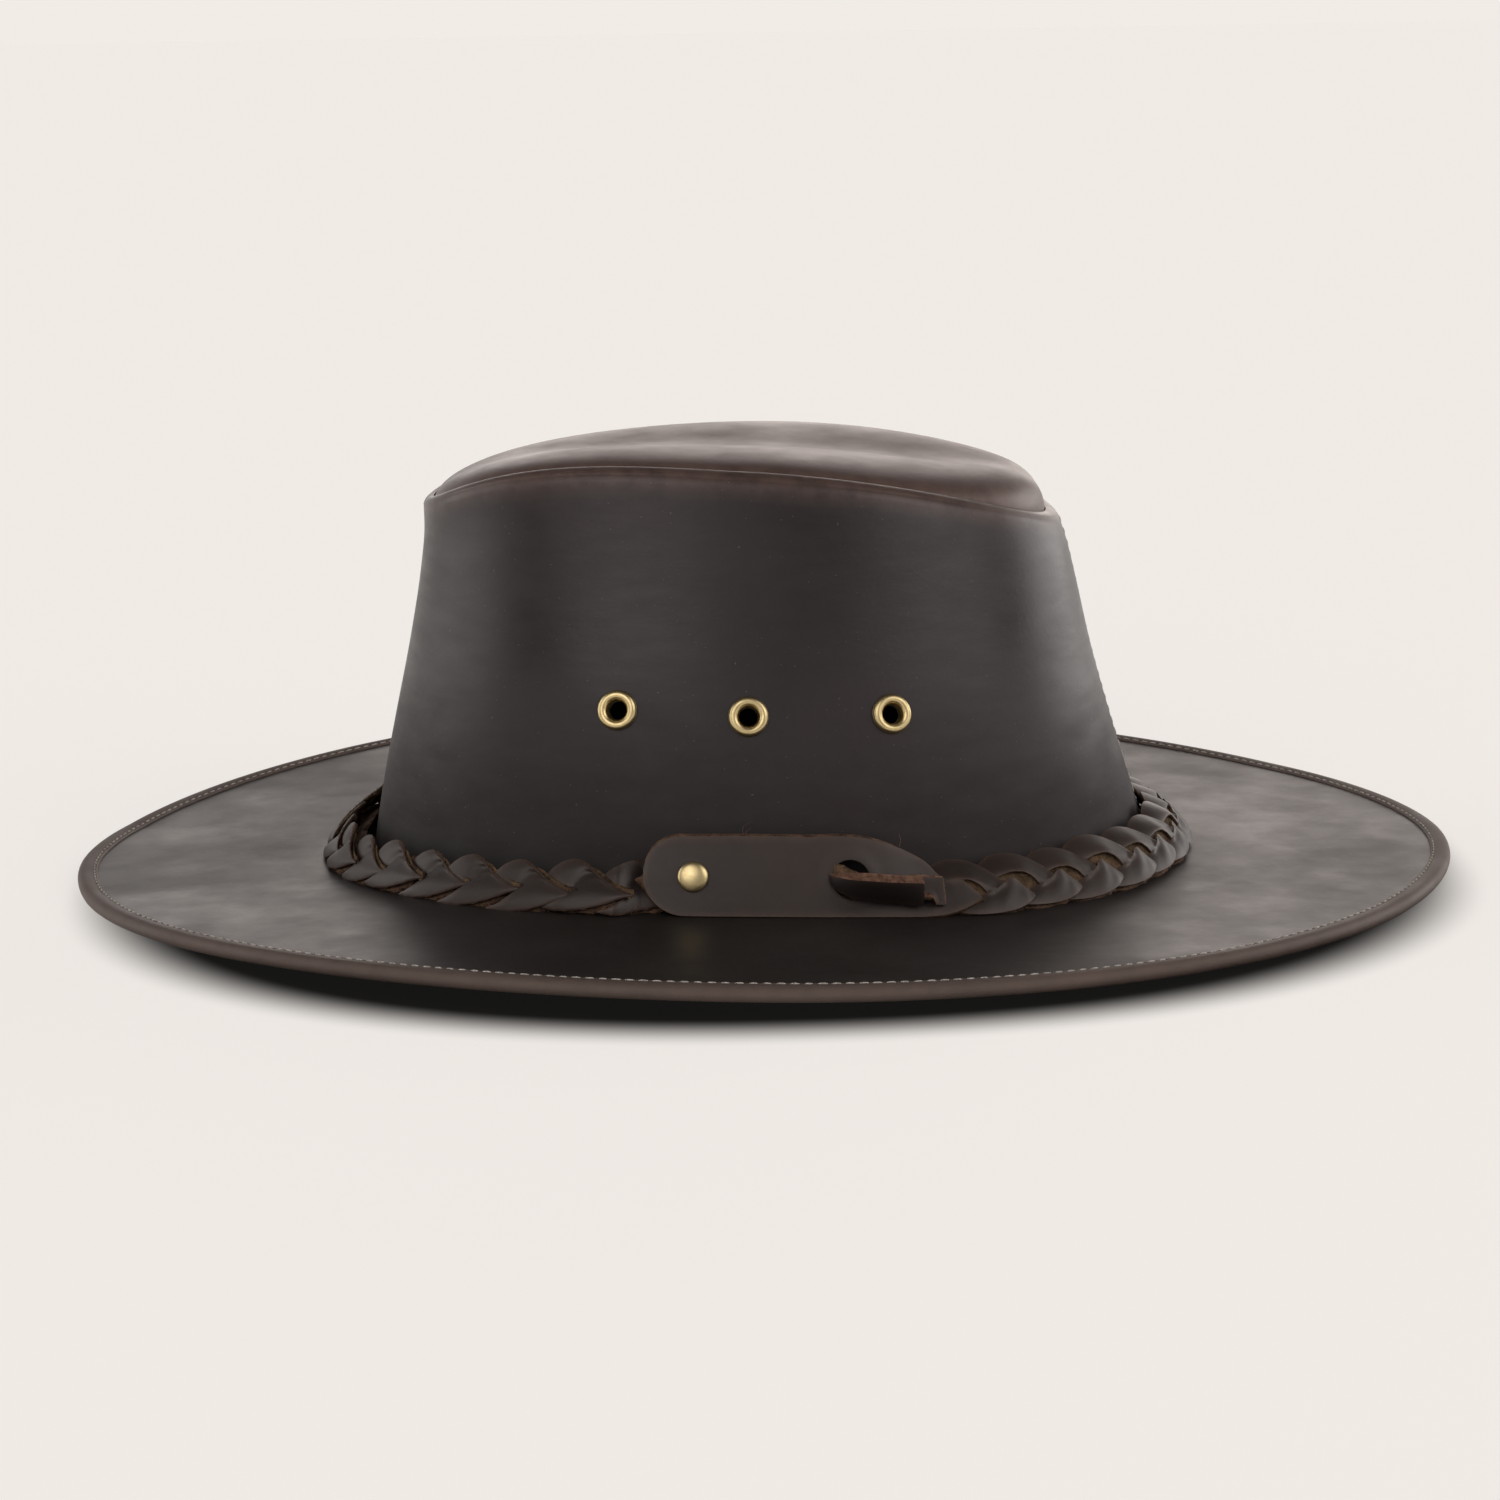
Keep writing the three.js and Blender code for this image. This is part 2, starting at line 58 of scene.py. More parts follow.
# The crown's wall: fraction of its height, then how far it reaches to the front, back and side.
WALL_UP = np.array([0.0, 0.2, 0.4, 0.6, 0.8, 0.9, 1.0])
WALL_FRONT = np.array([110.8, 107.2, 103.0, 98.6, 94.8, 93.5, 93.5])
WALL_BACK = np.array([108.6, 102.9, 97.2, 92.0, 87.8, 85.6, 82.6])
WALL_SIDE = np.array([88.0, 81.0, 74.2, 67.6, 61.2, 58.0, 54.9])
WALL_LEATHER = 1.8
FOOT_ROUNDNESS = 2.13
TOP_ROUNDNESS = 2.25
TOP_EDGE = (110.2, -5.1, -7.3, 1.6, -0.6, 0.2)
TOP_SKEW = 5.0

# The tip's pillow above the seam, from the front, -1, to the back, 1.
TIP_ALONG = np.array([-1.0, -0.9, -0.6, 0.0, 0.6, 0.88, 1.0])
TIP_RISE = np.array([0.0, 4.0, 4.4, 5.2, 6.1, 9.0, 0.0])
TIP_CREASE = np.array([0.0, 0.3, 1.6, 2.8, 2.0, 0.6, 0.0])
TIP_LEATHER = 1.6

EYELET_PLACES = ((-40.9, 56.3), (-6.6, 54.6), (31.3, 53.7))
EYELET_BARREL = 6.2

LINKS = 38
TAB_FROM = -32.2
TAB_TIP = 51.4
TAB_HEIGHT = 19.6
TAB_LEATHER = 2.6
TAB_SHARP = 46
RIVET = {"along": -19.9, "up": 9.6, "radius": 4.0}
TIE_HOLE = {"along": 19.6, "up": 9.2, "radius": 5.0}

# Sizes of the finer work

BINDING_WIDTH = 5.5
STITCH = {"pitch": 3.3, "length": 2.35, "thread": 0.5, "inset": 4.7}
WALL_ROLL = {"width": 2.9, "drop": 2.4}
CROWN_REACH = 95.0
SEED = 7

# Uneven waves of the leather: their height, their shortest length and how many sines make them.
BRIM_WAVE = (0.13, 52.0, 7)
BINDING_WANDER = (0.12, 26.0, 6)
WALL_WAVE = (0.42, 58.0, 6)
TIP_WAVE = (0.16, 44.0, 6)
TAB_WAVE = (0.2, 16.0, 5)

# What each face of a piece of leather is.
FACE, CUT_EDGE, FLESH = 0, 1, 2

LEFT_MIDDLE = 1.5 * math.pi
FULL_TURN = 2 * math.pi


# Curves and surfaces of the hat

def signed_power(value, power):
    return np.sign(value) * np.abs(value) ** power


def smooth_lookup(places, values, at):
    """A smooth curve through a short table."""
    slopes = np.gradient(values, places)
    i = np.clip(np.searchsorted(places, at) - 1, 0, len(places) - 2)
    width = places[i + 1] - places[i]
    s = (at - places[i]) / width
    start = (2 * s**3 - 3 * s**2 + 1) * values[i] + (s**3 - 2 * s**2 + s) * width * slopes[i]
    end = (3 * s**2 - 2 * s**3) * values[i + 1] + (s**3 - s**2) * width * slopes[i + 1]
    return start + end


def smooth_step(value):
    value = np.clip(value, 0, 1)
    return value * value * (3 - 2 * value)


def ramp(value, start, width):
    """Goes smoothly from 0 at start to 1 when the value has gained width."""
    return smooth_step((value - start) / width)


def oval(angle, front, back, side, roundness):
    power = 2 / roundness
    x = (back - front) / 2 + (back + front) / 2 * signed_power(np.cos(angle), power)
    return x, side * signed_power(np.sin(angle), power)


def brim_outline(angle, inset):
    reach = BRIM["half_length"] - inset
    return oval(angle, reach, reach, BRIM["half_width"] - inset, BRIM["roundness"])


def wave_height(wave, angle):
    twist = np.cos(3 * angle) - np.cos(angle)
    return wave["mean"] - wave["droop"] * np.cos(2 * angle) + wave["twist"] * twist


def edge_height(angle):
    return np.maximum(HALF_EDGE, wave_height(BRIM_EDGE, angle))


def brim_top(angle):
    return wave_height(FOOT, angle) + BRIM["leather"] / 2


def wall_foot(angle):
    return brim_top(angle) + GAP


def top_edge(angle):
    """Height of the wall's top edge, which is lower in front and higher behind on the wearer's right."""
    arch = sum(wave * np.cos(turns * angle) for turns, wave in enumerate(TOP_EDGE))
    on_right = ((1 + np.sin(angle)) / 2) ** 2
    return arch + TOP_SKEW * on_right * np.sin(2 * angle)


def wall_height(angle):
    return top_edge(angle) - wall_foot(angle)


def wall_outline(angle, up, outset):
    front = smooth_lookup(WALL_UP, WALL_FRONT, up) + outset
    back = smooth_lookup(WALL_UP, WALL_BACK, up) + outset
    side = smooth_lookup(WALL_UP, WALL_SIDE, up) + outset
    roundness = FOOT_ROUNDNESS + (TOP_ROUNDNESS - FOOT_ROUNDNESS) * up
    return oval(angle, front, back, side, roundness)


def wall_at_height(angle, z, outset):
    up = (z - wall_foot(angle)) / wall_height(angle)
    x, y = wall_outline(angle, up, outset)
    return np.stack([x, y, z + 0 * x], -1)


def unit(vectors):
    """The same directions, each 1 long."""
    return vectors / np.maximum(np.linalg.norm(vectors, axis=-1, keepdims=True), 1e-9)


def ripples(across, along, wave, seed):
    """A gentle uneven wave: the mean of a few sines with fixed directions, times its height."""
    height, shortest, count = wave
    draw = np.random.default_rng(seed)
    total = 0 * across
    for _ in range(count):
        turn = draw.uniform(0, FULL_TURN)
        length = shortest * draw.uniform(1, 2.6)
        phase = draw.uniform(0, FULL_TURN)
        travel = across * math.cos(turn) + along * math.sin(turn)
        total = total + np.sin(travel * FULL_TURN / length + phase)
    return height * total / count


# Meshes from grids of points

def add_object(name, data):
    made = bpy.data.objects.new(name, data)
    bpy.context.scene.collection.objects.link(made)
    return made


def grid_faces(rows, columns, closed_columns, start=0, closed_rows=False):
    """Quads between neighbouring rows; a closed grid joins its last column to its first."""
    row_count = rows if closed_rows else rows - 1
    column_count = columns if closed_columns else columns - 1
    row, column = np.meshgrid(np.arange(row_count), np.arange(column_count), indexing="ij")
    next_row = (row + 1) % rows
    next_column = (column + 1) % columns
    corners = [row * columns + column, row * columns + next_column,
               next_row * columns + next_column, next_row * columns + column]
    return np.stack(corners, -1).reshape(-1, 4) + start


def make_object(name, points, faces, materials, face_slots=None, attributes=None):
    """A smooth mesh object. Points come in millimetres; attributes are one number a point."""
    mesh = bpy.data.meshes.new(name)
    mesh.from_pydata((np.asarray(points) * MM).tolist(), [], [list(face) for face in faces])
    for material in materials:
        mesh.materials.append(material)
    if face_slots is not None:
        mesh.polygons.foreach_set("material_index", np.asarray(face_slots, dtype=np.int32))
    for label, values in (attributes or {}).items():
        layer = mesh.attributes.new(label, "FLOAT", "POINT")
        layer.data.foreach_set("value", np.asarray(values, dtype=np.float32).ravel())
    mesh.polygons.foreach_set("use_smooth", [True] * len(mesh.polygons))
    mesh.update()
    return add_object(name, mesh)


def point_outwards(made):
    """Turns the faces outwards if the closed mesh is inside out."""
    mesh = made.data
    mesh.calc_loop_triangles()
    points = np.empty(len(mesh.vertices) * 3)
    mesh.vertices.foreach_get("co", points)
    points = points.reshape(-1, 3)
    corners = np.empty(len(mesh.loop_triangles) * 3, dtype=np.int32)
    mesh.loop_triangles.foreach_get("vertices", corners)
    a, b, c = (points[corners.reshape(-1, 3)[:, k]] for k in range(3))
    if np.einsum("ij,ij->i", a, np.cross(b, c)).sum() < 0:
        mesh.flip_normals()
    return made


def ring_object(name, rows, material, attributes=None):
    """A closed ring round the hat; each row of points goes all the way round."""
    grid = np.stack(rows)
    faces = grid_faces(len(rows), grid.shape[1], True, closed_rows=True)
    made = make_object(name, grid.reshape(-1, 3), faces, [material], attributes=attributes)
    return point_outwards(made)


# A cut edge's rounding: the share of the way through the leather, and the share of the bevel there.
EDGE_ROUNDING = ((0.2, 0.75), (0.55, 1.0), (0.88, 0.6))

# A ragged edge is drawn back by up to this share of its raggedness; wear fades over this width.
EDGE_PULL = 0.4
WEAR_WIDTH = 0.9


def closed_sheet(face, back, bevel, ragged, seed):
    """A closed sheet between two grids of points, with rounded and slightly ragged cut edges.

    Returns points, faces, what each face is, and how near each point is to an edge, from 0 to 1."""
    rows, columns = face.shape[:2]
    border = [(0, c) for c in range(columns)]
    border += [(r, columns - 1) for r in range(1, rows)]
    border += [(rows - 1, c) for c in range(columns - 2, -1, -1)]
    border += [(r, 0) for r in range(rows - 2, 0, -1)]
    ring = [r * columns + c for r, c in border]
    loop = face.reshape(-1, 3)[ring]
    through = back.reshape(-1, 3)[ring] - loop
    side = unit(np.cross(np.roll(loop, -1, axis=0) - np.roll(loop, 1, axis=0), through))
    if np.einsum("ij,ij->i", side, loop - loop.mean(axis=0)).sum() < 0:
        side = -side
    draw = np.random.default_rng(seed)
    layers = []
    for depth, proud in EDGE_ROUNDING:
        jitter = ragged * (draw.random(len(loop)) - EDGE_PULL)
        layers.append(loop + through * depth + side * (bevel * proud + jitter)[:, None])
    count = rows * columns
    size = len(ring)
    points = np.concatenate([face.reshape(-1, 3), back.reshape(-1, 3), *layers])
    faces = grid_faces(rows, columns, False).tolist()
    faces += [[count + i for i in quad[::-1]] for quad in faces]
    kinds = [FACE] * (len(faces) // 2) + [FLESH] * (len(faces) // 2)
    rings = [ring] + [[2 * count + layer * size + i for i in range(size)] for layer in range(len(layers))]
    rings.append([count + i for i in ring])
    for upper, lower in zip(rings[:-1], rings[1:]):
        for i in range(size):
            j = (i + 1) % size
            faces.append([upper[j], upper[i], lower[i], lower[j]])
            kinds.append(CUT_EDGE)
    reach = np.linalg.norm(face.reshape(-1, 1, 3) - loop[None], axis=2).min(axis=1)
    worn = np.zeros(len(points))
    worn[:count] = np.exp(-((reach / WEAR_WIDTH) ** 2))
    return points, faces, kinds, worn


def keep_edges_sharp(made, degrees):
    made.data.set_sharp_from_angle(angle=math.radians(degrees))


def finish_piece(made, nodes):
    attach(made, "root")
    if nodes:
        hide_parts(*nodes)


def apply_modifiers(made):
    """Replaces the object's mesh by what its modifiers make of it, and drops them."""
    graph = bpy.context.evaluated_depsgraph_get()
    result = bpy.data.meshes.new_from_object(made.evaluated_get(graph))
    made.modifiers.clear()
    made.data = result
    return made


# Materials

def add_node(tree, kind, values=None, **settings):
    made = tree.nodes.new(kind)
    for key, value in settings.items():
        setattr(made, key, value)
    for key, value in (values or {}).items():
        if isinstance(value, bpy.types.NodeSocket):
            tree.links.new(value, made.inputs[key])
        else:
            made.inputs[key].default_value = value
    return made


def start_material(name, shader_values):
    material = bpy.data.materials.new(name)
    material.use_nodes = True
    tree = material.node_tree
    tree.nodes.clear()
    shader = add_node(tree, "ShaderNodeBsdfPrincipled", shader_values)
    output = add_node(tree, "ShaderNodeOutputMaterial")
    tree.links.new(shader.outputs[0], output.inputs[0])
    place = add_node(tree, "ShaderNodeTexCoord").outputs["Object"]
    return material, tree, shader, place


def connect(tree, shader, looks):
    for label, socket in looks.items():
        tree.links.new(socket, shader.inputs[label])


def noise(tree, place, scale, detail=2.0, roughness=0.5, stretch=None):
    if stretch:
        place = add_node(tree, "ShaderNodeMapping", {"Vector": place, "Scale": stretch}).outputs[0]
    values = {"Vector": place, "Scale": scale, "Detail": detail, "Roughness": roughness}
    return add_node(tree, "ShaderNodeTexNoise", values).outputs[0]


def remap(tree, value, low, high, to_low, to_high, kind="LINEAR"):
    values = {0: value, 1: low, 2: high, 3: to_low, 4: to_high}
    return add_node(tree, "ShaderNodeMapRange", values, interpolation_type=kind).outputs[0]


def blend(tree, share, first, second):
    """A colour between two; each may be a colour or a socket."""
    return add_node(tree, "ShaderNodeMix", {0: share, 6: first, 7: second}, data_type="RGBA").outputs[2]


def combine(tree, operation, first, second):
    return add_node(tree, "ShaderNodeMath", {0: first, 1: second}, operation=operation).outputs[0]


def vector_math(tree, operation, values, output=0):
    return add_node(tree, "ShaderNodeVectorMath", values, operation=operation).outputs[output]


def bump(tree, height, strength, depth, below=None):
    values = {"Height": height, "Strength": strength, "Distance": depth}
    if below:
        values["Normal"] = below
    return add_node(tree, "ShaderNodeBump", values).outputs[0]


def rgb(red, green, blue):
    return (red, green, blue, 1.0)


# Dust lies in specks; where the leather is dull, its roughness is that much higher.
DUST_COLOUR = (0.42, 0.37, 0.32)
DULLED = 0.36


def leather_material(name, dark, light, worn, gloss, grain_depth, speck=0.0, tint=(1.0, 0.92, 0.90),
                     scuff_depth=0.00035):
    """Oiled leather: clouded colour, paler where it is worn, a fine pebbled grain and faint scuffs.

    The gloss is a roughness, and the depths of grain and scuffs are in metres."""
    values = {"IOR": 1.5, "Specular IOR Level": 0.5, "Specular Tint": rgb(*tint)}
    material, tree, shader, place = start_material(name, values)
    clouds = noise(tree, place, 17.0, detail=3.0, roughness=0.55)
    flecks = noise(tree, place, 210.0, detail=4.0, roughness=0.6)
    clouded = remap(tree, clouds, 0.3, 0.7, 0.0, 0.75)
    flecked = remap(tree, flecks, 0.3, 0.75, 0.0, 0.25)
    colour = blend(tree, combine(tree, "ADD", clouded, flecked), rgb(*dark), rgb(*light))
    wear = add_node(tree, "ShaderNodeAttribute", attribute_name="worn").outputs["Fac"]
    patchy = combine(tree, "MULTIPLY", wear, remap(tree, flecks, 0.25, 0.6, 0.45, 1.0))
    colour = blend(tree, patchy, colour, rgb(*worn))
    dust = noise(tree, place, 1500.0, detail=0.0)
    specks = remap(tree, dust, 0.83, 0.87, 0.0, speck)
    colour = blend(tree, specks, colour, rgb(*DUST_COLOUR))
    scuffs = noise(tree, place, 55.0, detail=5.0, roughness=0.65, stretch=(1.0, 1.0, 3.5))
    satin = remap(tree, combine(tree, "ADD", clouds, scuffs), 0.7, 1.3, gloss - 0.06, gloss + 0.09)
    dull = add_node(tree, "ShaderNodeAttribute", attribute_name="dull").outputs["Fac"]
    satin = combine(tree, "ADD", satin, combine(tree, "MULTIPLY", dull, DULLED))
    pebbles = add_node(tree, "ShaderNodeTexVoronoi", {"Vector": place, "Scale": 820.0}, feature="SMOOTH_F1")
    pores = noise(tree, place, 2600.0, detail=2.0)
    surface = bump(tree, pebbles.outputs["Distance"], 0.35, grain_depth)
    surface = bump(tree, pores, 0.25, grain_depth * 0.6, surface)
    surface = bump(tree, scuffs, 0.25, scuff_depth, surface)
    connect(tree, shader, {"Base Color": colour, "Roughness": satin, "Normal": surface})
    return material


def raw_leather_material(name, dark, light, depth):
    """A cut edge or the flesh side: matt, fibrous and uneven."""
    material, tree, shader, place = start_material(name, {"Roughness": 0.9, "Specular IOR Level": 0.2})
    fibres = noise(tree, place, 900.0, detail=6.0, roughness=0.7)
    lumps = noise(tree, place, 260.0, detail=2.0)
    share = remap(tree, combine(tree, "ADD", fibres, lumps), 0.75, 1.3, 0.0, 1.0)
    colour = blend(tree, share, rgb(*dark), rgb(*light))
    connect(tree, shader, {"Base Color": colour, "Normal": bump(tree, fibres, 0.9, depth)})
    return material


def brass_material():
    material, tree, shader, place = start_material("brass_lightly_worn", {"Metallic": 1.0})
    tarnish = noise(tree, place, 650.0, detail=4.0, roughness=0.6)
    scratches = noise(tree, place, 1500.0, detail=3.0, stretch=(1.0, 0.15, 1.0))
    bright = rgb(0.75, 0.59, 0.31)
    dull = rgb(0.46, 0.34, 0.16)
    colour = blend(tree, remap(tree, tarnish, 0.45, 0.75, 0.0, 0.4), bright, dull)
    satin = remap(tree, tarnish, 0.3, 0.7, 0.28, 0.38)
    surface = bump(tree, scratches, 0.1, 0.00002)
    connect(tree, shader, {"Base Color": colour, "Roughness": satin, "Normal": surface})
    return material


def thread_material():
    material, tree, shader, place = start_material("waxed_thread", {"Roughness": 0.75})
    strands = noise(tree, place, 2200.0, detail=2.0)
    dark = rgb(0.34, 0.30, 0.26)
    light = rgb(0.66, 0.60, 0.54)
    colour = blend(tree, remap(tree, strands, 0.35, 0.65, 0.0, 1.0), dark, light)
    connect(tree, shader, {"Base Color": colour, "Normal": bump(tree, strands, 0.6, 0.0001)})
    return material


crown_leather = leather_material(
    "crown_leather", dark=(0.0072, 0.0046, 0.0048), light=(0.020, 0.0125, 0.0125), worn=(0.100, 0.062, 0.051),
    gloss=0.37, grain_depth=0.00004, speck=0.12, tint=(1.0, 0.95, 0.96))
tip_leather = leather_material(
    "tip_leather", dark=(0.036, 0.0215, 0.0195), light=(0.066, 0.040, 0.036), worn=(0.130, 0.082, 0.066),
    gloss=0.40, grain_depth=0.00004, tint=(1.0, 0.86, 0.84), scuff_depth=0.00010)
brim_leather = leather_material(
    "brim_leather", dark=(0.0090, 0.0075, 0.0070), light=(0.024, 0.0180, 0.0155), worn=(0.11, 0.07, 0.055),
    gloss=0.46, grain_depth=0.00004, speck=0.15, tint=(1.0, 0.95, 0.94), scuff_depth=0.0002)
binding_leather = leather_material(
    "binding_leather", dark=(0.060, 0.042, 0.034), light=(0.108, 0.073, 0.060), worn=(0.16, 0.110, 0.090),
    gloss=0.60, grain_depth=0.00006)
band_leather = leather_material(
    "band_leather", dark=(0.018, 0.0125, 0.0105), light=(0.040, 0.0265, 0.0215), worn=(0.062, 0.038, 0.028),
    gloss=0.45, grain_depth=0.00007)
tab_leather = leather_material(
    "tab_leather", dark=(0.022, 0.0150, 0.0125), light=(0.043, 0.0290, 0.0240), worn=(0.08, 0.048, 0.034),
    gloss=0.46, grain_depth=0.00007)
# The tongue is the strap's leather painted darker: painted shade, as its face leans down away from the light.
tongue_leather_painted_shade = leather_material(
    "tongue_leather_painted_shade", dark=(0.0075, 0.0050, 0.0045), light=(0.016, 0.0105, 0.0090), worn=(0.05, 0.03, 0.02),
    gloss=0.5, grain_depth=0.00007)
raw_edge = raw_leather_material(
    "raw_edge", dark=(0.032, 0.017, 0.011), light=(0.17, 0.098, 0.061), depth=0.0005)
flesh_side = raw_leather_material(
    "flesh_side", dark=(0.045, 0.027, 0.016), light=(0.20, 0.125, 0.070), depth=0.0006)
# The tie's cut edge: pale raw leather, painted paler still as a painted highlight where it catches the light.
tie_edge_and_highlight = raw_leather_material(
    "tie_edge_and_highlight", dark=(0.085, 0.041, 0.028), light=(0.27, 0.145, 0.095), depth=0.0004)
brass = brass_material()
thread = thread_material()


# Geometry Nodes, built in the script

def new_node_tree(name, inputs):
    tree = bpy.data.node_groups.new(name, "GeometryNodeTree")
    tree.interface.new_socket("Geometry", in_out="INPUT", socket_type="NodeSocketGeometry")
    for label, (kind, default) in inputs.items():
        socket = tree.interface.new_socket(label, in_out="INPUT", socket_type="NodeSocket" + kind)
        if default is not None:
            socket.default_value = default
    tree.interface.new_socket("Geometry", in_out="OUTPUT", socket_type="NodeSocketGeometry")
    entry = tree.nodes.new("NodeGroupInput")
    exit_node = tree.nodes.new("NodeGroupOutput")
    return tree, entry, exit_node


def run_tree(made, tree, values):
    """Runs a node tree on an object and keeps the plain mesh that comes out."""
    modifier = made.modifiers.new(tree.name, "NODES")
    modifier.node_group = tree
    for item in tree.interface.items_tree:
        if item.item_type == "SOCKET" and item.in_out == "INPUT" and item.name in values:
            modifier[item.identifier] = values[item.name]
    return apply_modifiers(made)


def stitch_tree():
    """Stitches laid along a path, whose points carry the direction in which the thread stands out."""
    inputs = {"Count": ("Int", 100), "Length": ("Float", 0.002), "Thread": ("Float", 0.0004),
              "Seed": ("Int", SEED), "Thread material": ("Material", None)}
    tree, entry, exit_node = new_node_tree("stitches_along_path", inputs)
    curve = add_node(tree, "GeometryNodeMeshToCurve", {0: entry.outputs["Geometry"]})
    spaced = add_node(
        tree, "GeometryNodeResampleCurve", {"Curve": curve.outputs[0], "Count": entry.outputs["Count"]})
    ball = add_node(tree, "GeometryNodeMeshUVSphere", {"Segments": 6, "Rings": 5, "Radius": 0.5})
    tangent = add_node(tree, "GeometryNodeInputTangent")
    outward = add_node(tree, "GeometryNodeInputNamedAttribute", {"Name": "outward"}, data_type="FLOAT_VECTOR")
    along = add_node(tree, "FunctionNodeAlignRotationToVector", {"Vector": tangent.outputs[0]}, axis="X")
    upright = add_node(
        tree, "FunctionNodeAlignRotationToVector",
        {"Rotation": along.outputs[0], "Vector": outward.outputs[0]}, axis="Z", pivot_axis="X")
    slack = add_node(
        tree, "FunctionNodeRandomValue", {2: 0.85, 3: 1.1, "Seed": entry.outputs["Seed"]}, data_type="FLOAT")
    length = combine(tree, "MULTIPLY", entry.outputs["Length"], slack.outputs[1])
    size = add_node(
        tree, "ShaderNodeCombineXYZ", {0: length, 1: entry.outputs["Thread"], 2: entry.outputs["Thread"]})
    placed = add_node(
        tree, "GeometryNodeInstanceOnPoints",
        {"Points": spaced.outputs[0], "Instance": ball.outputs[0], "Rotation": upright.outputs[0],
         "Scale": size.outputs[0]})
    real = add_node(tree, "GeometryNodeRealizeInstances", {0: placed.outputs[0]})
    smooth = add_node(tree, "GeometryNodeSetShadeSmooth", {0: real.outputs[0]})
    painted = add_node(
        tree, "GeometryNodeSetMaterial",
        {"Geometry": smooth.outputs[0], "Material": entry.outputs["Thread material"]})
    tree.links.new(painted.outputs[0], exit_node.inputs[0])
    return tree


STITCHES = stitch_tree()


def stitch_row(name, path, outward, closed, seed=SEED):
    """A row of stitches along a line of points in millimetres, which stand out in one direction."""
    ends = np.roll(path, -1, axis=0) if closed else path[1:]
    starts = path if closed else path[:-1]
    length = np.linalg.norm(ends - starts, axis=1).sum()
    mesh = bpy.data.meshes.new(name)
    count = len(path)
    edges = [(i, (i + 1) % count) for i in range(count if closed else count - 1)]
    mesh.from_pydata((path * MM).tolist(), edges, [])
    layer = mesh.attributes.new("outward", "FLOAT_VECTOR", "POINT")
    layer.data.foreach_set("vector", np.tile(np.asarray(outward, dtype=np.float32), count))
    values = {"Count": round(length / STITCH["pitch"]), "Length": STITCH["length"] * MM,
              "Thread": STITCH["thread"] * MM, "Seed": seed, "Thread material": thread}
    return run_tree(add_object(name, mesh), STITCHES, values)


# Brim: one sheet, its inner edge turned up inside the crown

BRIM_SIDES = 420
RIM_INSET = 1.4
COLLAR_BEND = 3.0
COLLAR_ROUNDING = 0.3
COLLAR_SEAT = 1.05 * WALL_LEATHER


def brim_height(share, edge, foot):
    """Height of the brim's middle at a share of the way from its rim to the crown's foot."""
    lift = 0.7 * share + 0.3 * smooth_step(share)
    return edge + (foot - edge) * lift


def make_brim():
    half = BRIM["leather"] / 2
    angle = np.linspace(0, FULL_TURN, BRIM_SIDES, endpoint=False)
    edge = edge_height(angle)
    foot = wave_height(FOOT, angle)
    rim_x, rim_y = brim_outline(angle, RIM_INSET)
    inner_x, inner_y = brim_outline(angle, FLAT_RIM)
    shoulder_x, shoulder_y = wall_outline(angle, 0 * angle, FLAT_FOOT)
    collar_inset = -(COLLAR_SEAT + GAP)
    collar_x, collar_y = wall_outline(angle, 0 * angle, collar_inset)

    def sheet_row(share_rim, share_plain, share_foot, side):
        """One ring on the upper side, 1, or the lower, -1, at its share of the way across each zone."""
        x = rim_x + (inner_x - rim_x) * share_rim
        y = rim_y + (inner_y - rim_y) * share_rim
        x = x + (shoulder_x - inner_x) * share_plain
        y = y + (shoulder_y - inner_y) * share_plain
        x = x + (collar_x - shoulder_x) * share_foot
        y = y + (collar_y - shoulder_y) * share_foot
        z = brim_height(share_plain, edge, foot)
        free = np.sin(math.pi * np.clip(share_plain, 0, 1)) ** 0.8
        wave = free * ripples(x, y, BRIM_WAVE, SEED)
        return np.stack([x, y, z + side * half + wave], -1)

    def collar_row(inset, above):
        """One ring of the turned-up inner edge."""
        z = brim_top(angle) + above
        up = np.maximum(0, above + 0 * angle) / wall_height(angle)
        x, y = wall_outline(angle, up, collar_inset - inset)
        return np.stack([x, y, z], -1)

    thick = BRIM["leather"]
    rows = [sheet_row(0, 0, 0, 1)]
    rows += [sheet_row(s, 0, 0, 1) for s in (0.3, 0.6, 1.0)]
    rows += [sheet_row(1, s, 0, 1) for s in np.linspace(0.04, 1.0, 26)]
    rows += [sheet_row(1, 1, s, 1) for s in (0.3, 0.6, 0.97)]
    below_top = COLLAR_HEIGHT - COLLAR_ROUNDING
    rows += [collar_row(0, above) for above in (0.5, 3.0, 7.0, below_top)]
    rows += [collar_row(inset, COLLAR_HEIGHT) for inset in (COLLAR_ROUNDING, thick - COLLAR_ROUNDING)]
    rows += [collar_row(thick, above) for above in (below_top, 7.0, 3.0, 1.0)]
    for turn in (0.25, 0.5, 0.75, 1.0):
        lean = turn * math.pi / 2
        inset = thick - COLLAR_BEND * (1 - math.cos(lean))
        rows.append(collar_row(inset, 1.0 - (COLLAR_BEND + 0.2) * math.sin(lean)))
    rows += [sheet_row(1, 1, s, -1) for s in (0.55, 0.3, 0.0)]
    rows += [sheet_row(1, s, 0, -1) for s in np.linspace(0.92, 0.0, 18)]
    rows += [sheet_row(s, 0, 0, -1) for s in (0.6, 0.3, 0.0)]
    made = ring_object("brim_leather_sheet", rows, brim_leather)
    keep_edges_sharp(made, 50)
    finish_piece(made, ["brim"])


# Binding: a strip folded round the edge, drawn in a little by its stitches

BINDING_SIDES = 1416
STITCH_DIP = 0.06
STITCHES_ABOVE = 1.82

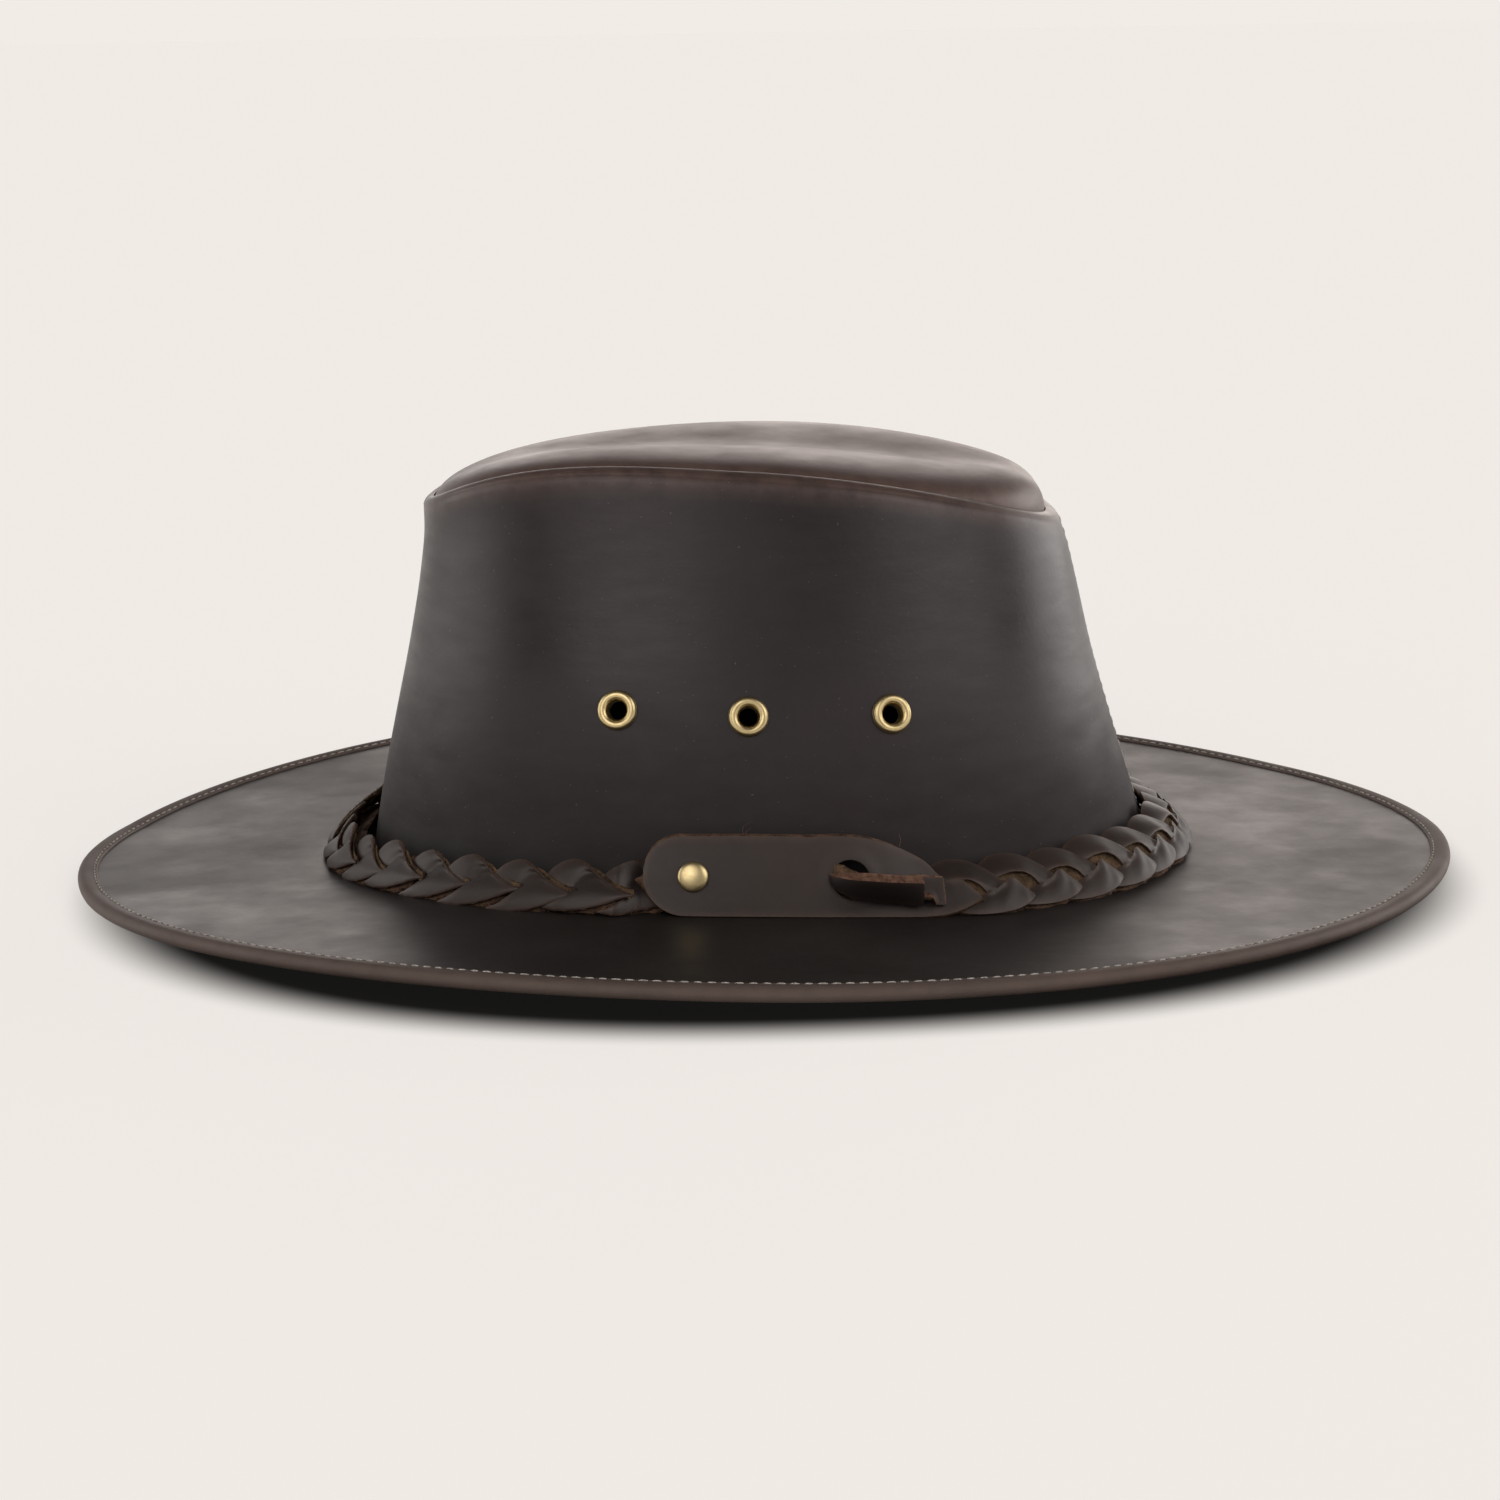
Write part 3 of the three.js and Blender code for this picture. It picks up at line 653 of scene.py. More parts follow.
# The folded strip's upper side and the faces that lie on the brim: inset from the rim and height.
BINDING_OUTER = (
    (BINDING_WIDTH + 0.1, 1.15), (BINDING_WIDTH + 0.05, 1.5), (BINDING_WIDTH - 0.2, 1.74),
    (STITCH["inset"] + 0.3, 1.74), (STITCH["inset"], 1.66), (STITCH["inset"] - 0.4, 1.78),
    (STITCH["inset"] - 1.0, 1.98), (2.7, HALF_EDGE),
)
BINDING_INSIDE = (
    (BINDING_WIDTH + 0.1, -1.12), (1.5, -1.12), (1.3, 0.0), (1.5, 1.12), (BINDING_WIDTH + 0.1, 1.12),
)


def make_binding():
    angle = np.linspace(0, FULL_TURN, BINDING_SIDES, endpoint=False)
    edge = edge_height(angle)
    pucker = np.cos(angle * BINDING_SIDES / 4)
    wander = ripples(angle * 180, 0 * angle, BINDING_WANDER, SEED + 1)
    turns = np.linspace(0, math.pi, 17)
    nose = [(HALF_EDGE * (1 - math.sin(turn)), HALF_EDGE * math.cos(turn)) for turn in turns]
    under = [(inset, -height) for inset, height in reversed(BINDING_OUTER)]
    rows = []
    worn = []
    for inset, height in [*BINDING_OUTER, *nose, *under, *BINDING_INSIDE]:
        near_stitch = math.exp(-((inset - STITCH["inset"]) / 0.9) ** 2)
        skin = abs(height) > 1.13 or inset < 1.3
        dip = STITCH_DIP * near_stitch * pucker * math.copysign(1, height) if skin else 0 * angle
        stray = wander * ramp(inset, 3.0, 2.0)
        x, y = brim_outline(angle, inset + stray)
        rows.append(np.stack([x, y, edge + height + dip], -1))
        crest = math.exp(-((inset - 1.0) / 1.2) ** 2) if height > 0 else 0.0
        border = 0.8 * math.exp(-((inset - BINDING_WIDTH) / 0.6) ** 2)
        worn.append(np.full(BINDING_SIDES, 0.35 * crest + border))
    made = ring_object("brim_edge_binding", rows, binding_leather, {"worn": np.stack(worn)})
    finish_piece(made, ["brim_binding"])


def make_brim_stitches():
    angle = np.linspace(0, FULL_TURN, 1440, endpoint=False)
    x, y = brim_outline(angle, STITCH["inset"])
    edge = edge_height(angle)
    for label, side in (("brim_stitches_top", 1.0), ("brim_stitches_under", -1.0)):
        path = np.stack([x, y, edge + side * STITCHES_ABOVE], -1)
        made = stitch_row(label, path, (0.0, 0.0, side), closed=True)
        finish_piece(made, [])


# Crown wall: one panel, its top edge rolled inwards to the tip, closed by a seam at the back

WALL_SIDES = 480
BACK_SEAM = {"groove": 0.55, "width": 0.9, "stitch_offset": 2.6}
TOP_WEAR_WIDTH = 3.4
DULL_BELOW = 0.62


def pushed_out(points, amount):
    """Moves points level, away from the middle of the hat."""
    flat = points[..., :2]
    return np.concatenate([flat + unit(flat) * amount[..., None], points[..., 2:]], -1)


def make_wall():
    angle = np.linspace(0, FULL_TURN, WALL_SIDES, endpoint=False)
    top = top_edge(angle)
    foot = wall_foot(angle)
    shape = wall_height(angle)
    roll = WALL_ROLL["width"]
    drop = WALL_ROLL["drop"]
    rows = []
    worn = []
    dull = []

    def add_row(z, inset, wear, skin):
        """One ring of the wall; the outer skin, skin, has its waves and the seam's groove."""
        points = wall_at_height(angle, z, -inset)
        share = (z - foot) / shape
        if skin:
            free = np.sin(math.pi * np.clip(share, 0, 1)) ** 0.7
            wave = free * ripples(angle * CROWN_REACH, z, WALL_WAVE, SEED + 2)
            seam = np.abs((angle + math.pi) % FULL_TURN - math.pi) * CROWN_REACH
            groove = BACK_SEAM["groove"] * np.exp(-(seam / BACK_SEAM["width"]) ** 2)
            points = pushed_out(points, wave - groove)
        rows.append(points)
        worn.append(wear + 0 * angle)
        dull.append(ramp(DULL_BELOW - share, 0, 0.55))

    for share in np.linspace(0, 1, 56):
        z = foot + (top - drop - foot) * share
        below = top - z
        add_row(z, 0 * angle, 0.75 * np.exp(-((below - drop) / TOP_WEAR_WIDTH) ** 2), True)
    for turn in np.linspace(0.1, 1.0, 9) * math.pi / 2:
        add_row(top - drop + drop * math.sin(turn) - 0.35, roll * (1 - math.cos(turn)), 0.9, True)
    add_row(top - 1.3, roll + 0.12 + 0 * angle, 0.1, False)
    add_row(top - 3.4, roll - 0.3 + 0 * angle, 0.0, False)
    for share in np.linspace(0.94, 0, 20):
        add_row(foot + shape * share, COLLAR_SEAT + 0 * angle, 0.0, False)
    looks = {"worn": np.stack(worn), "dull": np.stack(dull)}
    made = ring_object("crown_wall", rows, crown_leather, looks)
    for place, direction in eyelet_frames():
        cut_hole(made, place, direction, radius=EYELET_BARREL / 2 + GAP, reach=6.0)
    keep_edges_sharp(made, 55)
    finish_piece(made, ["crown_side"])


def upright_cylinder(radius, depth, sides):
    """Points and faces of a closed cylinder along Z, from -depth to depth."""
    turn = np.linspace(0, FULL_TURN, sides, endpoint=False)
    ring = np.stack([radius * np.cos(turn), radius * np.sin(turn)], -1)
    low = np.c_[ring, np.full(sides, -depth)]
    high = np.c_[ring, np.full(sides, depth)]
    faces = [[i, (i + 1) % sides, sides + (i + 1) % sides, sides + i] for i in range(sides)]
    faces.append(list(range(sides))[::-1])
    faces.append(list(range(sides, 2 * sides)))
    return np.r_[low, high], faces


def stand_on(points, place, direction):
    """Turns points that stand along Z so that they stand along direction at place."""
    turn = np.array(Vector(direction).to_track_quat("Z", "Y").to_matrix())
    return points @ turn.T + place


def cut_hole(made, place, direction, radius, reach):
    """Cuts a round hole through a piece, as far as reach to either side of place."""
    points, faces = upright_cylinder(radius, reach, 32)
    tool = make_object("hole_cutter", stand_on(points, place, direction), faces, [])
    modifier = made.modifiers.new("hole", "BOOLEAN")
    modifier.operation = "DIFFERENCE"
    modifier.solver = "EXACT"
    modifier.object = tool
    apply_modifiers(made)
    bpy.data.objects.remove(tool)


def place_on_wall(x, z, side):
    """The point of the wall at that x and z, and the direction in which the wall faces there."""
    angle = side * math.pi / 2
    for _ in range(30):
        up = (z - wall_foot(angle)) / wall_height(angle)
        front = smooth_lookup(WALL_UP, WALL_FRONT, up)
        back = smooth_lookup(WALL_UP, WALL_BACK, up)
        roundness = FOOT_ROUNDNESS + (TOP_ROUNDNESS - FOOT_ROUNDNESS) * up
        share = (x - (back - front) / 2) / ((back + front) / 2)
        angle = side * math.acos(signed_power(share, roundness / 2))
    step = 0.01
    here = wall_at_height(np.array(angle), np.array(z), 0.0)
    along = wall_at_height(np.array(angle + step), np.array(z), 0.0) - here
    rise = wall_at_height(np.array(angle), np.array(z + 1.0), 0.0) - here
    return here, unit(np.cross(along, rise))


def eyelet_frames():
    return [place_on_wall(x, z, side) for side in (-1, 1) for x, z in EYELET_PLACES]


# Crown tip: a pillowed oval with a soft crease, sewn in below the wall's rolled edge

TIP_SIDES = 360
TIP_INSET = WALL_ROLL["width"] + 0.15
TIP_SEAT = 1.6
TIP_FLANGE = 7.0
TIP_WEAR = {"amount": 0.8, "width": 5.0, "reach": 55}
CREASE_WIDTH = 0.36


def tip_surface(angle, ring, below):
    """Points of the tip at a share of the way out to its seam, and below its upper side."""
    rim_x, rim_y = wall_outline(angle, 1.0 + 0 * angle, -TIP_INSET)
    ends = [wall_outline(np.array(turn), np.array(1.0), -TIP_INSET)[0] for turn in (0.0, math.pi)]
    centre = (ends[0] + ends[1]) / 2
    x = centre + (rim_x - centre) * ring
    y = rim_y * ring
    along = np.clip((x - centre) / (ends[0] - centre), -1, 1)
    seam_angle = np.arccos(signed_power(along, TOP_ROUNDNESS / 2))
    half_chord = np.abs(wall_outline(seam_angle, 1.0 + 0 * angle, -TIP_INSET)[1])
    across = np.clip(y / np.maximum(half_chord, 1e-6), -1, 1)
    seam = top_edge(-seam_angle) * (1 - across) / 2 + top_edge(seam_angle) * (1 + across) / 2
    pillow = np.sqrt(1 - across**4)
    end_pillow = np.sqrt(np.clip(1 - np.abs(along) ** 26, 0, 1))
    rise = smooth_lookup(TIP_ALONG[1:-1], TIP_RISE[1:-1], np.clip(along, -0.97, 0.97)) * pillow * end_pillow
    crease = smooth_lookup(TIP_ALONG, TIP_CREASE, along) * np.exp(-((across / CREASE_WIDTH) ** 2))
    wave = ripples(x, y, TIP_WAVE, SEED + 3) * (1 - ring**6)
    z = seam - TIP_SEAT + rise - crease + wave - below
    return np.stack([x, y, z], -1)


def make_tip():
    angle = np.linspace(0, FULL_TURN, TIP_SIDES, endpoint=False)
    out_rings = 1 - np.linspace(0, 0.985, 54) ** 1.9
    rows = []
    worn = []
    for ring in out_rings[::-1]:
        rows.append(tip_surface(angle, ring, 0))
        inwards = (1 - ring) * TIP_WEAR["reach"] / TIP_WEAR["width"]
        worn.append(TIP_WEAR["amount"] * np.exp(-inwards**2) + 0 * angle)
    top = top_edge(angle)
    outside = [(drop, 0.0) for drop in (2.6, 4.5, TIP_FLANGE)]
    inside = [(drop, TIP_LEATHER) for drop in (TIP_FLANGE, 4.5)]
    for drop, inset in outside + inside:
        rows.append(wall_at_height(angle, top - drop, -(TIP_INSET + inset)))
        worn.append(0 * angle)
    for ring in (0.955, 0.93, 0.88, 0.8, 0.65, 0.5, 0.33, 0.16, out_rings[-1]):
        rows.append(tip_surface(angle, ring, TIP_LEATHER))
        worn.append(0 * angle)
    grid = np.stack(rows)
    count = len(rows)
    points = grid.reshape(-1, 3)
    faces = grid_faces(count, TIP_SIDES, True).tolist()
    for row, below in ((0, 0.0), (count - 1, TIP_LEATHER)):
        points = np.r_[points, tip_surface(np.array([0.0]), 0.0, below)]
        centre = len(points) - 1
        start = row * TIP_SIDES
        ring = [start + i for i in range(TIP_SIDES)]
        fan = [[centre, ring[i], ring[(i + 1) % TIP_SIDES]] for i in range(TIP_SIDES)]
        faces += fan if row == 0 else [face[::-1] for face in fan]
    wear = np.r_[np.stack(worn).ravel(), 0.0, 0.0]
    made = make_object("crown_tip_pillow", points, faces, [tip_leather], attributes={"worn": wear})
    point_outwards(made)
    keep_edges_sharp(made, 60)
    finish_piece(made, ["crown_tip"])


def make_back_seam_stitches():
    """Two short rows of stitches, one on each side of the seam up the back of the crown."""
    foot = float(wall_foot(np.array(0.0)))
    top = float(top_edge(np.array(0.0)))
    z = np.linspace(foot + 3, top - WALL_ROLL["drop"] - 1.5, 60)
    for label, side in (("back_seam_stitches_left", -1), ("back_seam_stitches_right", 1)):
        angle = np.full(len(z), side * BACK_SEAM["stitch_offset"] / CROWN_REACH)
        path = wall_at_height(angle, z, 0.08)
        made = stitch_row(label, path, (0.94, 0.0, 0.3), closed=False, seed=SEED + 4)
        finish_piece(made, [])


# Brass eyelets

def lathe(profile, sides):
    """Points and faces of a closed profile, radius and height, turned round Z."""
    turn = np.linspace(0, FULL_TURN, sides, endpoint=False)
    rows = [np.stack([radius * np.cos(turn), radius * np.sin(turn), np.full(sides, height)], -1)
            for radius, height in profile]
    return np.stack(rows).reshape(-1, 3), grid_faces(len(profile), sides, True, closed_rows=True)


def eyelet_profile():
    """A rolled flange outside, a barrel, and a flattened flange inside."""
    front = 0.35
    outer, bore, barrel = 5.35, 2.5, 3.1
    roll_centre, roll_width, roll_height = 4.0, 1.25, 1.15
    profile = [(outer, front)]
    for turn in np.linspace(0, math.pi, 15):
        height = front + 0.15 + roll_height * math.sin(turn)
        profile.append((roll_centre + roll_width * math.cos(turn), height))
    profile += [(bore, front - 0.2), (bore, -2.4), (bore + 0.3, -2.9), (4.4, -2.9), (4.6, -2.6), (4.4, -2.3),
                (barrel, -2.2), (barrel, front - 0.1), (4.6, front)]
    return profile


def make_eyelets():
    profile_points, profile_faces = lathe(eyelet_profile(), 48)
    for number, (place, direction) in enumerate(eyelet_frames(), start=1):
        points = stand_on(profile_points, place, direction)
        eyelet = make_object(f"vent_eyelet_{number}", points, profile_faces, [brass])
        point_outwards(eyelet)
        keep_edges_sharp(eyelet, 60)
        finish_piece(eyelet, [f"eyelet_{number}"])


# Band: laid out flat as along, up and out, and then wrapped round the crown's foot

class FootPath:
    """Turns a distance along the crown's foot into the angle there."""

    def __init__(self):
        self.share = np.linspace(0, 1, 7201)
        x, y = wall_outline(self.turn(self.share), 0 * self.share, 0.0)
        steps = np.hypot(np.diff(x), np.diff(y))
        self.travel = np.r_[0, np.cumsum(steps)]
        self.length = self.travel[-1]

    @staticmethod
    def turn(share):
        return LEFT_MIDDLE + share * FULL_TURN

    def angle(self, along):
        return self.turn(np.interp(np.mod(along, self.length), self.travel, self.share))


foot_path = FootPath()


def wrap_on_band(points):
    """Places points given as along, up and out onto the hat."""
    along, up, out = (points[:, k] for k in range(3))
    angle = foot_path.angle(along)
    step = 1e-3
    before_x, before_y = wall_outline(angle - step, 0 * angle, 0.0)
    after_x, after_y = wall_outline(angle + step, 0 * angle, 0.0)
    across = np.hypot(after_x - before_x, after_y - before_y)
    outward = np.stack([(after_y - before_y) / across, (before_x - after_x) / across], -1)
    z = wall_foot(angle) + up
    base = wall_at_height(angle, z, 0.0)
    return np.c_[base[:, :2] + outward * out[:, None], z]


def mesh_points(made):
    flat = np.empty(len(made.data.vertices) * 3)
    made.data.vertices.foreach_get("co", flat)
    return flat.reshape(-1, 3) / MM


def set_mesh_points(made, points):
    made.data.vertices.foreach_set("co", (points * MM).ravel())
    made.data.update()


def wrap_object(made):
    """Wraps a mesh whose points are along, up and out, in metres, round the crown's foot."""
    set_mesh_points(made, wrap_on_band(mesh_points(made)))


def curve_through(rows, count):
    """A smooth curve through a few points, as count points evenly spaced along it."""
    rows = np.asarray(rows, dtype=float)
    steps = np.linalg.norm(np.diff(rows[:, :3], axis=0), axis=1)
    places = np.r_[0, np.cumsum(steps)]
    at = np.linspace(0, places[-1], count)
    return np.stack([smooth_lookup(places, rows[:, k], at) for k in range(rows.shape[1])], -1)


def patch(low, high, left, right, columns, rows):
    """A grid of points stretched between four edges that share their corners."""
    u = np.linspace(0, 1, columns)[None, :, None]
    v = np.linspace(0, 1, rows)[:, None, None]
    low, high = curve_through(low, columns), curve_through(high, columns)
    left, right = curve_through(left, rows), curve_through(right, rows)
    corners = ((1 - u) * (1 - v) * low[0] + u * (1 - v) * low[-1] + (1 - u) * v * high[0] + u * v * high[-1])
    return (1 - v) * low[None] + v * high[None] + (1 - u) * left[:, None] + u * right[:, None] - corners


def bump_at(value, middle, width):
    return np.exp(-(((value - middle) / width) ** 2))


def behind(face, thickness):
    """The grid of points that lies a thickness behind a face whose front looks out."""
    normal = unit(np.cross(np.gradient(face, axis=1), np.gradient(face, axis=0)))
    return face - normal * np.sign(normal[..., 2:]) * thickness


def all_flesh(sheet):
    """The same sheet with every face rough like its flesh side."""
    points, faces, kinds, worn = sheet
    return points, faces, [FLESH] * len(kinds), worn


def join_sheets(sheets):
    points, faces, kinds, worn = [], [], [], []
    start = 0
    for sheet_points, sheet_faces, sheet_kinds, sheet_worn in sheets:
        points.append(sheet_points)
        faces += [[i + start for i in face] for face in sheet_faces]
        kinds += sheet_kinds
        worn.append(sheet_worn)
        start += len(sheet_points)
    return np.concatenate(points), faces, kinds, np.concatenate(worn)


# Edges of a link's parts, each point as along from the link's own tip, up from the brim and out from the wall
LEAF_LOW = ((-22.4, 0.1, 13.4), (-19.5, 0.0, 14.0), (-16.0, 0.1, 14.2), (-11.0, 0.9, 13.9), (-5.5, 2.6, 13.2),
            (-1.4, 4.1, 12.6), (0.2, 4.7, 12.4))
LEAF_HIGH = ((-22.0, 7.7, 10.2), (-20.6, 9.3, 9.6), (-18.0, 11.0, 8.9), (-14.4, 11.7, 8.5),
             (-11.2, 10.5, 9.4), (-8.4, 8.7, 10.8), (-5.0, 6.9, 11.9), (-1.5, 5.5, 12.4), (0.3, 5.0, 12.4))
LEAF_LEFT = ((-22.4, 0.1, 13.4), (-19.4, 1.5, 13.4), (-17.0, 3.2, 12.9), (-15.6, 4.8, 11.4),
             (-18.0, 6.0, 10.4), (-20.4, 7.0, 10.3), (-22.0, 7.7, 10.2))
LEAF_TIP = ((0.2, 4.7, 12.4), (0.3, 5.0, 12.4))
LEAF_BEHIND = {"low": ((-19.0, 3.0, 9.0), (-14.0, 3.0, 8.6), (-8.0, 3.0, 9.2), (-3.0, 3.0, 10.0)),
               "high": ((-19.0, 6.6, 5.0), (-14.0, 7.2, 3.8), (-8.0, 6.6, 4.2), (-3.0, 5.2, 6.4))}
LEAF_UNDER = {"low": ((-20.0, -0.3, 11.6), (-15.5, -0.3, 12.9), (-10.0, -0.2, 12.9), (-4.0, 1.9, 12.0)),
              "high": ((-19.0, 2.6, 10.6), (-15.5, 3.0, 11.6), (-10.0, 3.4, 11.8), (-4.0, 4.0, 11.2))}
PETAL_LOW = ((-21.5, 2.4, 9.4), (-19.0, 1.4, 11.2), (-15.5, 1.0, 12.3), (-11.0, 0.9, 12.9), (-6.5, 1.2, 13.1),
             (-2.6, 2.1, 12.8), (0.1, 3.2, 12.0))
PETAL_HIGH = ((-20.5, 3.9, 8.6), (-16.5, 4.5, 9.2), (-13.0, 5.0, 9.8), (-10.2, 6.0, 10.2), (-7.4, 7.3, 10.0),
              (-5.4, 8.3, 9.5), (-4.4, 8.5, 9.4), (-3.4, 7.8, 9.6), (-1.7, 6.1, 10.5), (-0.4, 4.8, 11.1),
              (0.4, 3.9, 11.6))
PETAL_LEFT = ((-21.5, 2.4, 9.4), (-21.0, 3.1, 9.0), (-20.5, 3.9, 8.6))
PETAL_TIP = ((0.1, 3.2, 12.0), (0.4, 3.9, 11.6))
PETAL_UNDER = {"low": ((-20.5, 0.1, 9.0), (-16.0, -0.2, 11.4), (-10.0, -0.2, 12.1), (-3.5, 0.6, 11.7)),
               "high": ((-19.5, 3.0, 7.6), (-15.5, 3.4, 9.0), (-10.0, 3.6, 10.0), (-4.0, 3.6, 10.4))}
CRESCENT_HIGH = ((-12.5, 8.8, 3.2), (-10.0, 10.9, 2.9), (-6.5, 12.3, 2.8), (-2.0, 12.6, 3.1),
                 (2.0, 11.8, 4.2), (4.8, 10.3, 6.2), (7.0, 8.3, 8.8), (8.5, 6.4, 11.0), (9.6, 4.8, 12.4))
CRESCENT_LOW = ((-11.0, 6.3, 7.2), (-7.5, 8.0, 8.0), (-4.2, 9.1, 8.9), (-1.2, 9.0, 9.7), (1.2, 7.4, 10.3),
                (2.8, 5.2, 11.2), (4.4, 3.8, 12.2), (6.2, 2.9, 12.8))
CRESCENT_LEFT = ((-11.0, 6.3, 7.2), (-12.2, 7.6, 5.2), (-12.5, 8.8, 3.2))
CRESCENT_RIGHT = ((6.2, 2.9, 12.8), (8.1, 3.7, 12.7), (9.6, 4.8, 12.4))
LINING = {"low": ((-8.0, 3.6, 8.8), (-3.0, 3.2, 10.0), (1.0, 3.0, 10.4), (3.8, 3.0, 10.2)),
          "high": ((-8.0, 8.6, 6.4), (-3.0, 9.6, 7.6), (1.0, 8.8, 8.6), (3.8, 6.2, 9.4))}

# The leaf's crease, in shares of the leaf across and along it, and how high its lobes and lip stand
LEAF_CREASE = {"start": 0.5, "climb": 0.3, "climbed_at": 0.62, "fades_from": 0.36, "fades_over": 0.36}
LEAF_LOBES = {"lower": 0.3, "lower_at_crease": 0.35, "upper": 0.7, "lip": 0.35, "dip": 0.45}
LEAF_RIM = {"above": (0.45, 0.55, 0.35), "below": (0.0, -0.55, 0.25)}

# The petal's ridge leans from its foot to its peak, with a hollow beside it and a lip along its top.
PETAL_RIDGE = {"peak": -4.8, "lean": 3.6, "width": 2.1, "height": 0.75}
PETAL_HOLLOW = {"beside": 3.9, "width": 2.2, "depth": 0.35}
PETAL_CROWN = 0.6
PETAL_LIP = {"from": -12.5, "to": -5.8, "width": 0.12, "height": 0.9}
ARCH = {"rise": 0.9, "joins_from": 0.6, "proud": 1.3, "sunk": 0.4}

# Fibres along an edge, and how links stand at the crown's front and back
FRINGE = {"spread": 0.25, "lean": (0.0, -0.9, 0.9), "width": 0.09, "shortest": 0.5, "longest": 1.3}
LOWEST_FIBRE = -0.25
FLARE = {"near": 0.6, "far": 3.4, "lift": 0.8}
ROUGH_ROWS = 5
LINK_SHARP = 50

# Thickness of the links' parts
LEAF_LEATHER = 1.3
PETAL_LEATHER = 1.25
ARCH_LEATHER = 1.2
UNDER_LEATHER = 1.2
LINING_LEATHER = 1.0

# The last leaf dives below the tab: places along the band, and how far it has sunk there
DIVE_ALONG = (-38.0, -33.5, -20.0)
DIVE_DEPTH = (0.0, 4.6, 7.2)


def between(shape):
    """The two short edges of a plain part that is given by its long edges."""
    return (shape["low"][0], shape["high"][0]), (shape["low"][-1], shape["high"][-1])


def leaf_face():
    """Two lobes with a crease between them, which starts at the tip of the link before."""
    columns, rows = 29, 19
    face = patch(LEAF_LOW, LEAF_HIGH, LEAF_LEFT, LEAF_TIP, columns, rows)
    u, v = np.meshgrid(np.linspace(0, 1, columns), np.linspace(0, 1, rows))
    crease = LEAF_CREASE["start"] + LEAF_CREASE["climb"] * ramp(u, 0, LEAF_CREASE["climbed_at"])
    strength = 1 - ramp(u, LEAF_CREASE["fades_from"], LEAF_CREASE["fades_over"])
    lower = np.sin(math.pi * np.clip(v / crease, 0, 1)) ** 0.8
    upper = np.sin(math.pi * np.clip((v - crease) / (1 - crease), 0, 1))
    lower_rise = LEAF_LOBES["lower"] + LEAF_LOBES["lower_at_crease"] * strength
    face[..., 2] += lower * lower_rise * (1 - ramp(u, 0.8, 0.2))
    face[..., 2] += LEAF_LOBES["lip"] * strength * bump_at(v, crease - 0.05, 0.06)
    face[..., 2] -= LEAF_LOBES["dip"] * strength * bump_at(v, crease + 0.05, 0.05)
    face[..., 2] += LEAF_LOBES["upper"] * upper * (0.4 + 0.6 * strength)
    return face


def leaf_back(face):
    """The leaf's flesh side, which shows as a rough rim beyond the face above its right and below it."""
    back = behind(face, LEAF_LEATHER)
    u = np.linspace(0, 1, face.shape[1])[:, None]
    over_right = ramp(u, 0.35, 0.15) * ramp(1.0 - u, 0, 0.15)
    back[-1] += over_right * np.array(LEAF_RIM["above"])
    below = ramp(u, 0, 0.1) * ramp(0.9 - u, 0, 0.3)
    back[0] += below * np.array(LEAF_RIM["below"])
    return back


def petal_face():
    """A lobe with a pointed peak and a flute that runs down from it."""
    columns, rows = 33, 15
    face = patch(PETAL_LOW, PETAL_HIGH, PETAL_LEFT, PETAL_TIP, columns, rows)
    along = face[..., 0]
    v = np.linspace(0, 1, rows)[:, None] + 0 * along
    line = PETAL_RIDGE["peak"] - PETAL_RIDGE["lean"] * (1 - v) ** 1.2
    ridge = bump_at(along, line, PETAL_RIDGE["width"]) * v**0.8
    hollow = bump_at(along, line - PETAL_HOLLOW["beside"], PETAL_HOLLOW["width"]) * v
    face[..., 2] += PETAL_RIDGE["height"] * ridge - PETAL_HOLLOW["depth"] * hollow
    face[..., 2] += PETAL_CROWN * np.sin(math.pi * v) ** 0.9 * ramp(along, -21, 6) * ramp(-along, 0, 3)
    lip = bump_at(v, 1.0, PETAL_LIP["width"])
    lip = lip * ramp(along, PETAL_LIP["from"], 2) * ramp(-along, -PETAL_LIP["to"], 1.5)
    face[..., 2] += PETAL_LIP["height"] * lip
    return face


def crescent_face(petal, pitch):
    """A broad arch over the opening, rounded across, whose right end runs out onto the next petal."""
    columns, rows = 33, 13
    face = patch(CRESCENT_LOW, CRESCENT_HIGH, CRESCENT_LEFT, CRESCENT_RIGHT, columns, rows)
    u, v = np.meshgrid(np.linspace(0, 1, columns), np.linspace(0, 1, rows))
    start = ARCH["joins_from"]
    face[..., 2] += ARCH["rise"] * np.sin(math.pi * v**0.9) ** 0.8 * (1 - ramp(u, start, 0.3))
    face[..., 0] -= pitch
    joined = ramp(u, start, 0.25)
    proud = ARCH["proud"] * ramp(v, 0, 0.45) * (1 - ramp(u, start, 0.38)) - ARCH["sunk"]
    face[..., 2] += joined * (out_of_sheet(petal, face) + proud - face[..., 2])
    return face


def out_of_sheet(sheet, points):
    """How far out a sheet lies at the along and up of each point; off the sheet, the point's own out."""
    rows, columns = sheet.shape[:2]
    tree = BVHTree.FromPolygons(sheet.reshape(-1, 3).tolist(), grid_faces(rows, columns, False).tolist())
    result = points[..., 2].copy()
    for place in np.ndindex(result.shape):
        along, up, out = points[place]
        hit = tree.ray_cast(Vector((along, up, 40.0)), Vector((0.0, 0.0, -1.0)))[0]
        result[place] = hit.z if hit else out
    return result


def rough_sheet(shape, columns, thickness, seed):
    """A plain part that shows only its fibres."""
    left, right = between(shape)
    face = patch(shape["low"], shape["high"], left, right, columns, ROUGH_ROWS)
    back = behind(face, thickness)
    points, faces, kinds, worn = closed_sheet(face, back, bevel=0.15, ragged=0.6, seed=seed)
    return points, faces, [max(kind, CUT_EDGE) for kind in kinds], worn


